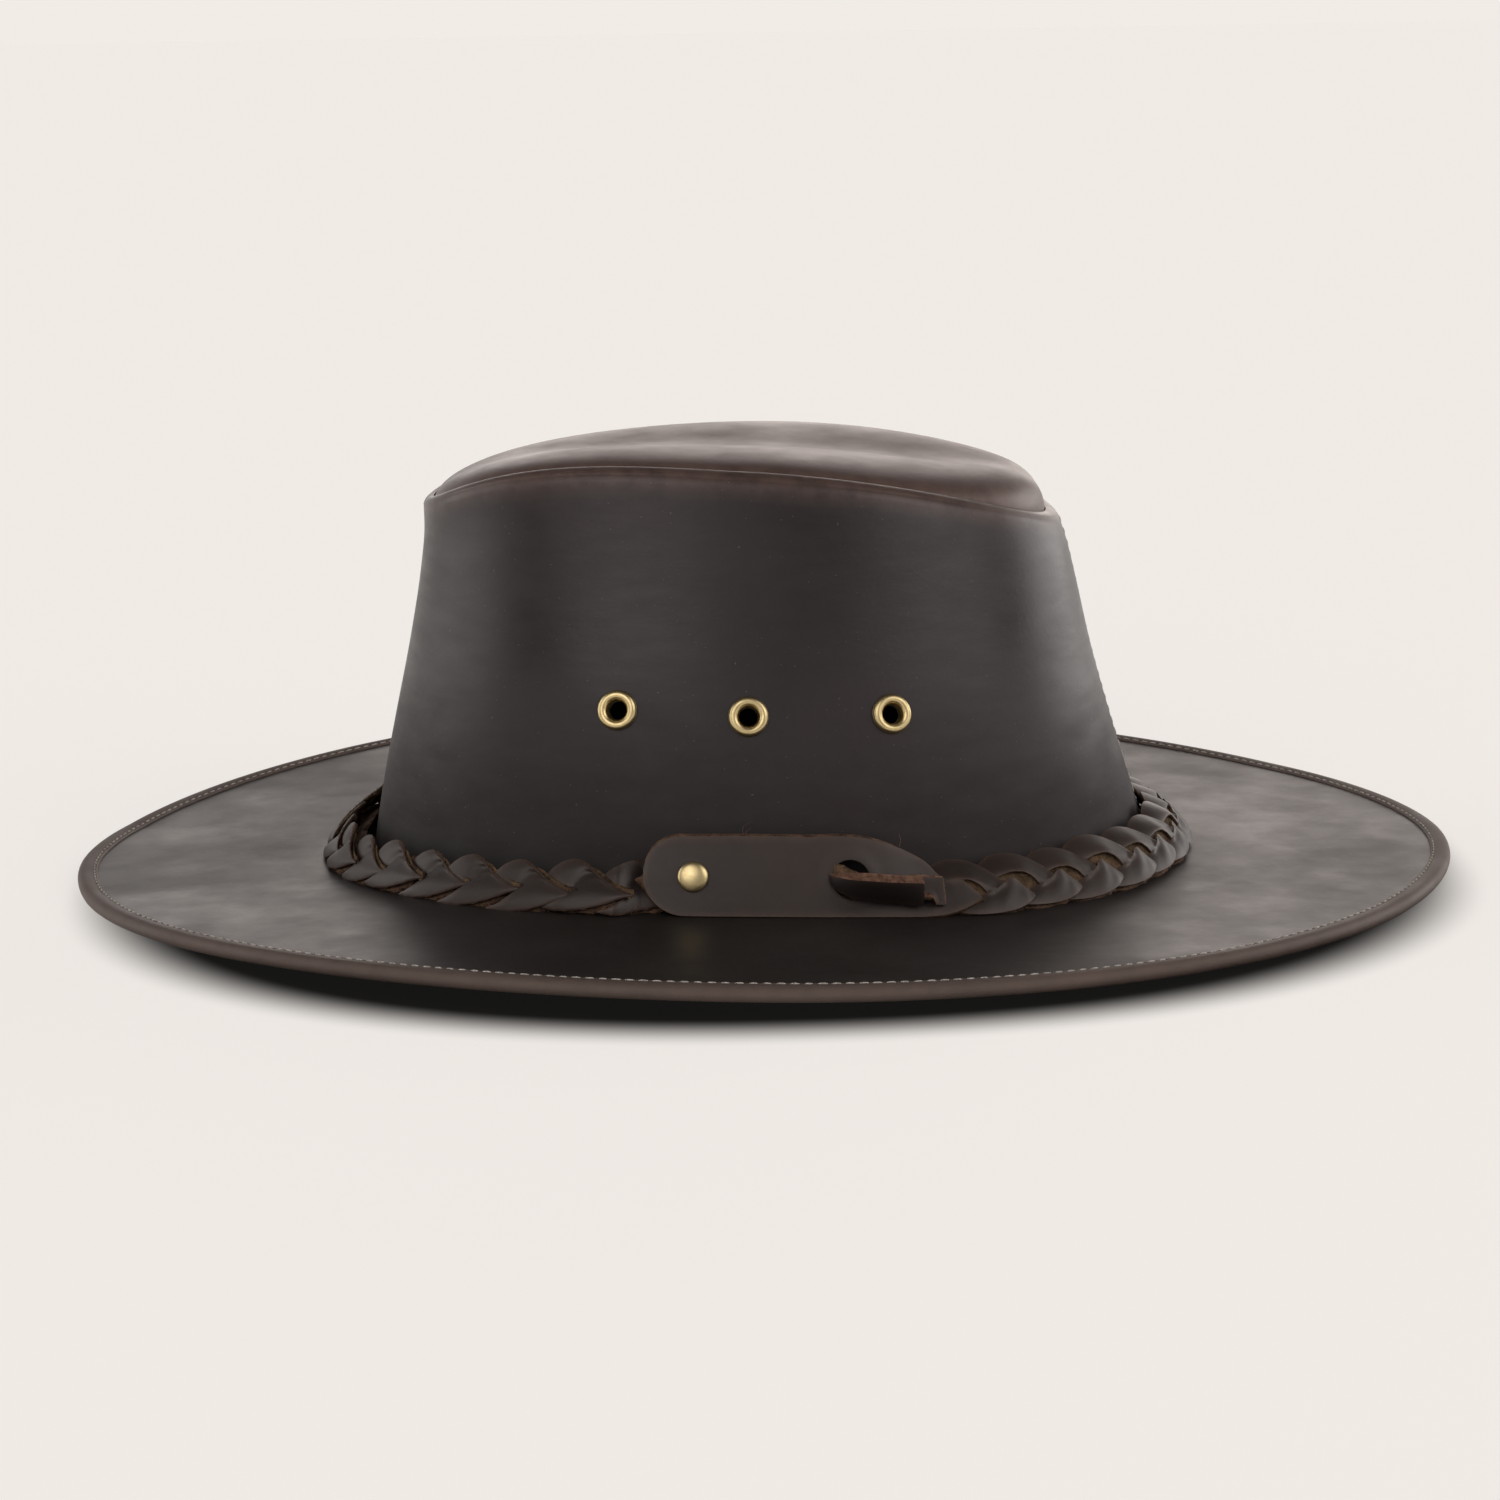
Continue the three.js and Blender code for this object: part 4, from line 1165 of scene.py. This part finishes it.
def fringe(edge, count, seed):
    """Short loose fibres, each a thin spike, that stand out along an edge."""
    draw = np.random.default_rng(seed)
    spread = FRINGE["spread"]
    roots = curve_through(edge, count) + draw.uniform(-spread, spread, (count, 3))
    heading = unit(draw.normal(0.0, 1.0, (count, 3)) + np.array(FRINGE["lean"]))
    side = unit(np.cross(heading, draw.normal(0.0, 1.0, (count, 3))))
    other = np.cross(heading, side)
    length = draw.uniform(FRINGE["shortest"], FRINGE["longest"], (count, 1))
    sideways = [math.cos(turn) * side + math.sin(turn) * other for turn in (0.0, 2.1, 4.2)]
    corners = [roots + FRINGE["width"] * way for way in sideways]
    points = np.stack(corners + [roots + heading * length], 1).reshape(-1, 3)
    points[:, 1] = np.maximum(points[:, 1], LOWEST_FIBRE)
    spike = ((0, 2, 1), (0, 1, 3), (1, 2, 3), (2, 0, 3))
    faces = [[4 * number + corner for corner in face] for number in range(count) for face in spike]
    return points, faces, [CUT_EDGE] * len(faces), np.zeros(len(points))


def leaf_template():
    """A leaf, the rough strap below and behind it, and the fibres along both."""
    face = leaf_face()
    return join_sheets([
        closed_sheet(face, leaf_back(face), bevel=0.12, ragged=0.3, seed=SEED + 10),
        rough_sheet(LEAF_UNDER, columns=19, thickness=UNDER_LEATHER, seed=SEED + 11),
        rough_sheet(LEAF_BEHIND, columns=15, thickness=LINING_LEATHER, seed=SEED + 20),
        fringe(LEAF_UNDER["low"], count=90, seed=SEED + 18),
        fringe(LEAF_HIGH[3:7], count=40, seed=SEED + 19),
    ])


def twisted_template(pitch):
    """An arch that comes down on the right and widens into a petal, with the rough strap behind it."""
    petal = petal_face()
    arch = crescent_face(petal, pitch)
    rough = rough_sheet(LINING, columns=15, thickness=LINING_LEATHER, seed=SEED + 15)
    points, faces, kinds, worn = all_flesh(rough)
    lining = points - np.array([pitch, 0.0, 0.0]), faces, kinds, worn
    return join_sheets([
        closed_sheet(arch, behind(arch, ARCH_LEATHER), bevel=0.12, ragged=0.25, seed=SEED + 14),
        closed_sheet(petal, behind(petal, PETAL_LEATHER), bevel=0.12, ragged=0.25, seed=SEED + 12),
        rough_sheet(PETAL_UNDER, columns=19, thickness=UNDER_LEATHER, seed=SEED + 13),
        lining,
    ])


def template_object(name, template):
    """A mesh that the node tree copies; its faces keep what they are in an attribute."""
    points, faces, kinds, worn = template
    made = make_object(name, points, faces, [], attributes={"worn": worn})
    layer = made.data.attributes.new("surface", "INT", "FACE")
    layer.data.foreach_set("value", kinds)
    return made


def link_tree():
    """Copies of a link on the points of a row, each turned and sized a little at random."""
    inputs = {"Link": ("Object", None), "Sway": ("Float", 0.03), "Seed": ("Int", SEED),
              "Face": ("Material", None), "Cut edge": ("Material", None), "Flesh side": ("Material", None)}
    tree, entry, exit_node = new_node_tree("links_along_band", inputs)
    link = add_node(tree, "GeometryNodeObjectInfo", {"Object": entry.outputs["Link"]})
    sway = entry.outputs["Sway"]
    back_sway = combine(tree, "MULTIPLY", sway, -1.0)
    low = add_node(tree, "ShaderNodeCombineXYZ", {0: back_sway, 1: back_sway, 2: back_sway})
    high = add_node(tree, "ShaderNodeCombineXYZ", {0: sway, 1: sway, 2: sway})
    turn = add_node(
        tree, "FunctionNodeRandomValue",
        {0: low.outputs[0], 1: high.outputs[0], "Seed": entry.outputs["Seed"]}, data_type="FLOAT_VECTOR")
    turned = add_node(tree, "FunctionNodeEulerToRotation", {0: turn.outputs[0]})
    size_seed = combine(tree, "ADD", entry.outputs["Seed"], 1.0)
    size = add_node(tree, "FunctionNodeRandomValue", {2: 0.97, 3: 1.03, "Seed": size_seed}, data_type="FLOAT")
    placed = add_node(
        tree, "GeometryNodeInstanceOnPoints",
        {"Points": entry.outputs["Geometry"], "Instance": link.outputs["Geometry"],
         "Rotation": turned.outputs[0], "Scale": size.outputs[1]})
    real = add_node(tree, "GeometryNodeRealizeInstances", {0: placed.outputs[0]})
    shape = real.outputs[0]
    kind = add_node(tree, "GeometryNodeInputNamedAttribute", {"Name": "surface"}, data_type="INT")
    for number, label in enumerate(("Face", "Cut edge", "Flesh side")):
        chosen = add_node(
            tree, "FunctionNodeCompare", {2: kind.outputs[0], 3: number}, data_type="INT", operation="EQUAL")
        shape = add_node(
            tree, "GeometryNodeSetMaterial",
            {"Geometry": shape, "Selection": chosen.outputs[0], "Material": entry.outputs[label]}).outputs[0]
    tree.links.new(shape, exit_node.inputs[0])
    return tree


def flare(points):
    """At the crown's front and back links stand off the wall on the near side and hug it on the far side."""
    angle = foot_path.angle(points[:, 0])
    bend = np.cos(angle) ** 4
    far = ramp(np.sin(angle), -0.3, 0.45)
    stand_off = FLARE["near"] - FLARE["far"] * far
    points[:, 2] += stand_off * bend * np.clip((points[:, 1] - 1.0) / 10.5, 0, 1.2) ** 1.3
    points[:, 1] += FLARE["lift"] * bend * (1 - far) * np.clip((points[:, 1] - 6.0) / 5.0, 0, 1)
    return points


def make_link_row(name, tree, template, tips, seed):
    """A row of links with their tips at the given places, wrapped round the crown's foot."""
    link = template_object(name + "_pattern", template)
    mesh = bpy.data.meshes.new(name)
    mesh.from_pydata([(tip * MM, 0.0, 0.0) for tip in tips], [], [])
    made = add_object(name, mesh)
    values = {"Link": link, "Seed": seed,
              "Face": band_leather, "Cut edge": raw_edge, "Flesh side": flesh_side}
    run_tree(made, tree, values)
    bpy.data.objects.remove(link)
    set_mesh_points(made, flare(mesh_points(made)))
    wrap_object(made)
    made.data.polygons.foreach_set("use_smooth", [True] * len(made.data.polygons))
    keep_edges_sharp(made, LINK_SHARP)
    return made


def sunk_under_tab(template, tip):
    """The last leaf dives below the rounded end of the tab."""
    points, faces, kinds, worn = template
    points = points.copy()
    points[:, 2] -= np.interp(points[:, 0] + tip, DIVE_ALONG, DIVE_DEPTH)
    return points, faces, kinds, worn


# The last link's tip, just before the tab's rounded end
LAST_TIP = TAB_FROM - 2.3


def link_nodes(first, last):
    return [f"band_link_{number:02d}" for number in range(first, last + 1)]


def make_band_links():
    tree = link_tree()
    pitch = (foot_path.length + LAST_TIP - TAB_TIP) / LINKS
    tips = [TAB_TIP + pitch * number for number in range(LINKS + 1)]
    turned = LINKS // 2
    leaf = leaf_template()
    sunk = sunk_under_tab(leaf, LAST_TIP + pitch)
    rows = [
        ("band_twisted_links", twisted_template(pitch), tips[1:turned + 2], link_nodes(1, turned), SEED + 5),
        ("band_leaves", leaf, tips[turned + 2:], link_nodes(turned + 1, LINKS), SEED + 6),
        ("band_leaf_under_tab", sunk, [tips[-1] + pitch], [], SEED + 6),
    ]
    for name, template, places, nodes, seed in rows:
        finish_piece(make_link_row(name, tree, template, places, seed), nodes)


# Tab: the flat strap end, rounded at the left and narrowing to a leaf under the first link

# Its edges as along and up, and how far out they stand, as along and out
TAB_LOW = ((-21.0, 0.0), (-10.0, 0.0), (8.0, 0.0), (28.0, 0.0), (38.0, 0.2), (44.0, 1.0), (48.5, 2.5),
           (51.6, 4.2))
TAB_HIGH = ((-21.0, 19.6), (-10.0, 19.8), (8.0, 19.8), (25.0, 19.2), (30.5, 17.6), (36.5, 14.7), (40.3, 12.2),
            (42.7, 9.3), (44.2, 8.3), (45.8, 8.5), (47.2, 8.7), (49.1, 7.2), (50.4, 5.8), (51.4, 4.7))
TAB_OUT_LOW = ((-33.0, 11.0), (-21.0, 9.8), (-8.0, 8.8), (8.0, 8.6), (28.0, 9.2), (40.0, 11.4), (52.0, 12.2))
TAB_OUT_HIGH = ((-33.0, 10.2), (-21.0, 9.2), (-8.0, 8.4), (8.0, 8.2), (28.0, 7.6), (40.0, 6.6), (52.0, 11.8))
HOLE_RIM = {"height": 0.5, "outside": 0.6, "width": 1.8}


def table_at(table, at):
    """The second column of a short table, on a smooth curve through its rows."""
    rows = np.asarray(table)
    return smooth_lookup(rows[:, 0], rows[:, 1], at)


def tab_edges(along):
    """Lower and upper edge of the tab at each place along it."""
    middle = TAB_HEIGHT / 2
    round_end = TAB_FROM + middle
    inside = np.clip(middle - (along - TAB_FROM), 0, middle)
    half = np.sqrt(np.maximum(0, middle**2 - inside**2))
    start = TAB_LOW[0][0]
    low = np.where(along < round_end, middle - half, table_at(TAB_LOW, np.maximum(along, start)))
    high = np.where(along < round_end, middle + half, table_at(TAB_HIGH, np.maximum(along, start)))
    return low, high


def make_tab():
    middle = TAB_HEIGHT / 2
    turn = np.linspace(0.12, math.pi / 2, 20)
    cap = TAB_FROM + middle * (1 - np.cos(turn))
    along = np.r_[cap, np.linspace(cap[-1] + 1.2, TAB_TIP, 62)]
    low, high = tab_edges(along)
    across = np.linspace(0, 1, 21)[:, None]
    up = low[None] * (1 - across) + high[None] * across
    flat = np.broadcast_to(along[None], up.shape)
    out = table_at(TAB_OUT_LOW, along)[None] * (1 - across) + table_at(TAB_OUT_HIGH, along)[None] * across
    out = out + ripples(flat, up, TAB_WAVE, SEED + 7)
    reach = np.hypot(flat - TIE_HOLE["along"], up - TIE_HOLE["up"])
    swollen = bump_at(reach, TIE_HOLE["radius"] + HOLE_RIM["outside"], HOLE_RIM["width"])
    out = out + HOLE_RIM["height"] * swollen
    face = np.stack([flat, up, out], -1)
    sheet = closed_sheet(face, behind(face, TAB_LEATHER), bevel=0.34, ragged=0.12, seed=SEED + 8)
    points, faces, kinds, worn = sheet
    made = make_object(
        "band_tab_strap", points, faces, [tab_leather, raw_edge, flesh_side], kinds, {"worn": worn * 0.8})
    point_outwards(made)
    middle_of_hole = np.array([TIE_HOLE["along"], TIE_HOLE["up"], 8.0])
    cut_hole(made, middle_of_hole, np.array([0.0, 0.0, 1.0]), radius=TIE_HOLE["radius"], reach=8.0)
    paint_hole(made, TIE_HOLE)
    wrap_object(made)
    keep_edges_sharp(made, TAB_SHARP)
    finish_piece(made, ["band_tab"])


def paint_hole(made, hole):
    """Gives the wall of a round hole the look of a cut edge."""
    for polygon in made.data.polygons:
        reach = math.hypot(polygon.center.x / MM - hole["along"], polygon.center.y / MM - hole["up"])
        if abs(reach - hole["radius"]) < 0.25 and abs(polygon.normal.z) < 0.5:
            polygon.material_index = CUT_EDGE


# Tie: the strap's tongue comes out of the hole, leans outwards at its top and ends beside a curled end

# Rows along each strip: along, up and out of its middle line, its half width, and its lean in degrees
TONGUE = (
    (15.0, 9.2, 6.0, 1.2, 10.0),
    (15.7, 9.3, 9.6, 1.7, 22.0),
    (18.4, 8.8, 12.0, 3.0, 34.0),
    (23.5, 8.3, 13.4, 4.1, 40.0),
    (30.0, 7.7, 13.5, 4.0, 38.0),
    (36.0, 6.9, 13.2, 3.8, 30.0),
)
ROOT = (
    (13.9, 9.4, 5.6, 3.0, 0.0),
    (15.4, 9.8, 7.2, 3.1, 5.0),
    (17.6, 9.7, 8.4, 2.8, 10.0),
    (21.0, 8.9, 9.2, 2.0, 14.0),
)
CURLED_END = (
    (34.0, 6.8, 10.6, 3.5, 0.0),
    (37.0, 6.7, 10.9, 3.6, 0.0),
    (39.6, 6.6, 11.2, 3.5, 2.0),
    (41.9, 6.6, 11.6, 3.4, 3.0),
)
CURL = {"radius": 1.25, "from": -0.05}


def strip(table, thickness, columns, rows, bow=0.0, curl=None):
    """Face and back of a strip of strap.

    Its middle stands proud by bow, and curl gives how strongly its lower edge rolls out at each share
    of its length."""
    line = curve_through(table, columns)
    middle = line[:, :3]
    half = line[:, 3]
    lean = np.radians(line[:, 4])
    ahead = np.gradient(middle, axis=0)
    across = np.stack([0 * lean, np.cos(lean), np.sin(lean)], -1)
    normal = unit(np.cross(ahead, across))
    face = np.empty((rows, columns, 3))
    back = np.empty((rows, columns, 3))
    for r, share in enumerate(np.linspace(-1, 1, rows)):
        level = share * half
        rise = 0 * half
        turn = 0 * half
        if curl:
            bend = np.maximum(curl(np.linspace(0, 1, columns)) / CURL["radius"], 1e-4)
            turn = bend * np.maximum(0, CURL["from"] - share) * half
            level = np.maximum(share, CURL["from"]) * half - np.sin(turn) / bend
            rise = (1 - np.cos(turn)) / bend
        swell = bow * (1 - share**2)
        base = middle + across * level[:, None] + normal * (rise + swell)[:, None]
        facing = normal * np.cos(turn)[:, None] + across * np.sin(turn)[:, None]
        face[r] = base + facing * thickness / 2
        back[r] = base - facing * thickness / 2
    return face, back


def strip_piece(name, parts, face_leather, node):
    """Strips joined into one piece, with a cut edge paler than the other cut edges: partly the pale raw edge
    of the leather, partly painted highlight.
    """
    points, faces, kinds, worn = join_sheets(parts)
    made = make_object(name, points, faces, [face_leather, tie_edge_and_highlight, flesh_side], kinds, {"worn": worn * 0.5})
    point_outwards(made)
    wrap_object(made)
    keep_edges_sharp(made, TAB_SHARP)
    finish_piece(made, [node])


def end_curl(share):
    """The curled end rolls most near its start and lies flat at its tip."""
    return ramp(share, 0, 0.12) * (1 - ramp(share, 0.58, 0.2))


def make_tie():
    tongue_face, tongue_back = strip(TONGUE, thickness=2.5, columns=41, rows=11, bow=0.25)
    root_face, root_back = strip(ROOT, thickness=1.9, columns=15, rows=7)
    end_face, end_back = strip(CURLED_END, thickness=1.5, columns=23, rows=17, curl=end_curl)
    tongue = closed_sheet(tongue_face, tongue_back, bevel=0.14, ragged=0.3, seed=SEED + 9)
    root = all_flesh(closed_sheet(root_face, root_back, bevel=0.2, ragged=0.6, seed=SEED + 16))
    end = closed_sheet(end_face, end_back, bevel=0.2, ragged=0.3, seed=SEED + 17)
    # The tongue takes the strap leather darkened with painted shade.
    strip_piece("band_tie_tongue", [tongue], tongue_leather_painted_shade, "band_tie")
    strip_piece("band_tie_curled_end", [root, end], tab_leather, "band_tie_end")


# Rivet: a domed brass cap on the tab

def band_surface_frame(along, up, out):
    """A point by the band and the direction in which the band faces there."""
    step = 0.5
    places = np.array([[along, up, out], [along - step, up, out], [along + step, up, out],
                       [along, up - step, out], [along, up + step, out]])
    here, left, right, below, above = wrap_on_band(places)
    return here, unit(np.cross(right - left, above - below))


def make_rivet():
    radius = RIVET["radius"]
    shank, foot, seat, rim, dome, on_axis = 1.4, -2.4, 0.15, 0.5, 1.35, 1e-3
    profile = [(on_axis, foot), (shank, foot), (shank, seat), (radius - 0.35, seat), (radius, rim - 0.1)]
    for turn in np.linspace(0.1, 1.0, 14) * math.pi / 2:
        profile.append((radius * math.cos(turn) + on_axis, rim + dome * math.sin(turn) ** 0.9))
    points, faces = lathe(profile, 56)
    face = float(table_at(TAB_OUT_LOW, RIVET["along"]) + table_at(TAB_OUT_HIGH, RIVET["along"])) / 2
    place, direction = band_surface_frame(RIVET["along"], RIVET["up"], face)
    made = make_object("tab_rivet_cap", stand_on(points, place, direction), faces, [brass])
    point_outwards(made)
    keep_edges_sharp(made, 50)
    finish_piece(made, ["tab_rivet"])


# Stray fibres at the cut edges, each as along, up and out of a few points on it

FIBRE_POINTS = 9
FIBRE_SIDES = 5
FIBRE_RADIUS = 0.11
FIBRES = (
    ((-6.5, 19.4, 7.6), (-6.9, 21.4, 8.4), (-6.2, 22.8, 9.6), (-4.2, 23.8, 10.2)),
    ((-6.3, 19.6, 7.6), (-5.8, 21.2, 8.6), (-4.6, 22.0, 9.2)),
    ((33.0, 16.9, 7.2), (33.4, 18.6, 8.0), (33.0, 20.4, 8.6)),
    ((57.5, 10.6, 3.2), (58.0, 12.4, 4.4), (59.6, 13.2, 5.4)),
    ((72.4, 10.8, 3.2), (72.0, 12.8, 4.6), (73.2, 14.0, 5.6)),
    ((-33.8, 2.0, 10.0), (-35.0, 0.8, 11.4), (-34.6, 0.3, 12.8)),
)


def make_fibres():
    """Thin tubes that taper towards their loose ends."""
    turn = np.linspace(0, FULL_TURN, FIBRE_SIDES, endpoint=False)
    points, faces = [], []
    for fibre in FIBRES:
        start = sum(len(block) for block in points)
        for index, (along, up, out) in enumerate(curve_through(fibre, FIBRE_POINTS)):
            thin = FIBRE_RADIUS * (1 - 0.7 * index / (FIBRE_POINTS - 1))
            ring = [along + thin * np.cos(turn), up + 0 * turn, out + thin * np.sin(turn)]
            points.append(np.stack(ring, -1))
        faces += grid_faces(FIBRE_POINTS, FIBRE_SIDES, True, start=start).tolist()
        faces.append([start + i for i in range(FIBRE_SIDES)])
        faces.append([start + (FIBRE_POINTS - 1) * FIBRE_SIDES + i for i in range(FIBRE_SIDES)][::-1])
    made = make_object("stray_leather_fibres", np.concatenate(points), faces, [tie_edge_and_highlight])
    wrap_object(made)
    point_outwards(made)
    finish_piece(made, [])


# Floor, light and camera

FLOOR_HALF_SIZE = 30000.0
FLOOR_COLOUR = (0.36, 0.342, 0.322)
FLOOR_GLOW = (0.668, 0.640, 0.611)
BACKDROP_COLOUR = (0.879, 0.838, 0.791)

# Camera: its place, its turn to the right, pitch down and roll in degrees, and its lens in millimetres.
CAMERA_PLACE = (-38.7, -999.3, 237.5)
CAMERA_TURN = 2.0
CAMERA_PITCH = 11.69
CAMERA_ROLL = -0.93
CAMERA_LENS = 86.52

# Soft boxes round the hat: azimuth from the camera's side to its right, elevation, half width and colour.
SOFT_BOXES = (
    (-26.0, 34.0, 20.0, (1.70, 1.65, 1.62)),
    (56.0, 32.0, 20.0, (1.72, 1.68, 1.65)),
    (115.0, 6.0, 20.0, (2.50, 2.46, 2.42)),
    (-100.0, 13.0, 24.0, (1.20, 1.19, 1.16)),
    (148.0, 9.0, 18.0, (0.75, 0.69, 0.64)),
    (174.0, 12.0, 14.0, (1.80, 1.57, 1.44)),
    (194.0, 5.0, 11.0, (0.55, 0.53, 0.51)),
)
SKY_COLOUR = (1.0, 0.99, 0.975)
SKY = {"low_front": 0.20, "front": 0.36, "behind": 0.50, "overhead": 0.15}

# Where the sky's brightness changes, as the height of a direction or how far behind the hat it points.
SKY_RISE = (0.16, 0.40)
SKY_BEHIND = (-0.5, 0.3)
SKY_OVERHEAD = (0.28, 0.70)

# How far out a soft box is full and where it has faded, in its half widths.
SOFT_BOX_FADE = (0.55, 1.45)

# The hat's soft contact shadow: an oval on the floor, shifted a little towards the camera.
SHADOW = {"half_length": 189.0, "half_width": 171.0, "shift": (-1.5, 14.8), "roundness": 2.2}
SHADOW_SHADE = 0.012
SHADOW_FADE = (0.80, 1.10)


def make_floor():
    """A wide pale floor, darker where the hat keeps the light away."""
    size = FLOOR_HALF_SIZE
    corners = [(-size, -size, 0), (size, -size, 0), (size, size, 0), (-size, size, 0)]
    values = {"Roughness": 1.0, "Specular IOR Level": 0.0, "Emission Strength": 1.0}
    material, tree, shader, place = start_material("pale_floor", values)
    shift = (SHADOW["shift"][0] * MM, SHADOW["shift"][1] * MM, 0.0)
    reach = (SHADOW["half_length"] * MM, SHADOW["half_width"] * MM, 1.0)
    moved = vector_math(tree, "ADD", {0: place, 1: shift})
    sides = add_node(tree, "ShaderNodeSeparateXYZ", {0: vector_math(tree, "DIVIDE", {0: moved, 1: reach})})
    powers = []
    for axis in ("X", "Y"):
        reach_there = combine(tree, "ABSOLUTE", sides.outputs[axis], 0.0)
        powers.append(combine(tree, "POWER", reach_there, SHADOW["roundness"]))
    distance = combine(tree, "ADD", powers[0], powers[1])
    lit = remap(tree, distance, *SHADOW_FADE, SHADOW_SHADE, 1.0, "SMOOTHSTEP")
    dark = rgb(0.0, 0.0, 0.0)
    connect(tree, shader, {"Base Color": blend(tree, lit, dark, rgb(*FLOOR_COLOUR)),
                           "Emission Color": blend(tree, lit, dark, rgb(*FLOOR_GLOW))})
    floor = make_object("floor", corners, [[0, 1, 2, 3]], [material])


def direction_of(azimuth, elevation):
    """A direction from the hat. Azimuth 0 is the camera's side, 90 its right and 180 behind the hat."""
    a, e = math.radians(azimuth), math.radians(elevation)
    return (math.sin(a) * math.cos(e), -math.cos(a) * math.cos(e), math.sin(e))


def make_world():
    """Studio light: a sky that is dimmer on the camera's side and overhead, and soft boxes."""
    world = bpy.data.worlds.new("studio")
    world.use_nodes = True
    tree = world.node_tree
    tree.nodes.clear()
    direction = add_node(tree, "ShaderNodeTexCoord").outputs["Generated"]
    parts = add_node(tree, "ShaderNodeSeparateXYZ", {0: direction})
    front = remap(tree, parts.outputs["Z"], *SKY_RISE, SKY["low_front"], SKY["front"])
    behind_share = remap(tree, parts.outputs["Y"], *SKY_BEHIND, 0.0, 1.0)
    rise = combine(tree, "MULTIPLY", behind_share, combine(tree, "SUBTRACT", SKY["behind"], front))
    overhead = remap(tree, parts.outputs["Z"], *SKY_OVERHEAD, 1.0, SKY["overhead"])
    level = combine(tree, "MULTIPLY", combine(tree, "ADD", front, rise), overhead)
    total = vector_math(tree, "SCALE", {0: SKY_COLOUR, "Scale": level})
    for azimuth, elevation, half_width, colour in SOFT_BOXES:
        toward = direction_of(azimuth, elevation)
        facing = vector_math(tree, "DOT_PRODUCT", {0: direction, 1: toward}, output="Value")
        inner, outer = (math.cos(math.radians(half_width * share)) for share in SOFT_BOX_FADE)
        glow = remap(tree, facing, outer, inner, 0.0, 1.0, "SMOOTHSTEP")
        glow_colour = vector_math(tree, "SCALE", {0: colour, "Scale": glow})
        total = vector_math(tree, "ADD", {0: total, 1: glow_colour})
    light = add_node(tree, "ShaderNodeBackground", {"Color": total, "Strength": 1.0})
    plain = add_node(tree, "ShaderNodeBackground", {"Color": rgb(*BACKDROP_COLOUR), "Strength": 1.0})
    seen = add_node(tree, "ShaderNodeLightPath").outputs["Is Camera Ray"]
    mixed = add_node(tree, "ShaderNodeMixShader", {0: seen, 1: light.outputs[0], 2: plain.outputs[0]})
    output = add_node(tree, "ShaderNodeOutputWorld")
    tree.links.new(mixed.outputs[0], output.inputs[0])
    bpy.context.scene.world = world


def make_camera():
    """The camera on the wearer's left, as the hat is seen in the picture."""
    data = bpy.data.cameras.new("camera")
    data.sensor_fit = "AUTO"
    data.sensor_width = 36.0
    data.lens = CAMERA_LENS
    data.clip_start = 0.05
    data.clip_end = 100.0
    camera = add_object("camera", data)
    turn, pitch, roll = (math.radians(x) for x in (CAMERA_TURN, CAMERA_PITCH, CAMERA_ROLL))
    ahead = Vector((math.sin(turn) * math.cos(pitch), math.cos(turn) * math.cos(pitch), -math.sin(pitch)))
    aim = ahead.to_track_quat("-Z", "Y").to_matrix().to_4x4()
    camera.matrix_world = Matrix.Translation(Vector(CAMERA_PLACE) * MM) @ aim @ Matrix.Rotation(roll, 4, "Z")
    bpy.context.scene.camera = camera


def set_view():
    bpy.context.scene.view_settings.view_transform = "Standard"
    bpy.context.scene.view_settings.look = "None"


make_camera()
make_floor()
make_world()
set_view()
make_brim()
make_binding()
make_brim_stitches()
make_wall()
make_back_seam_stitches()
make_tip()
make_eyelets()
make_band_links()
make_tab()
make_tie()
make_rivet()
make_fibres()
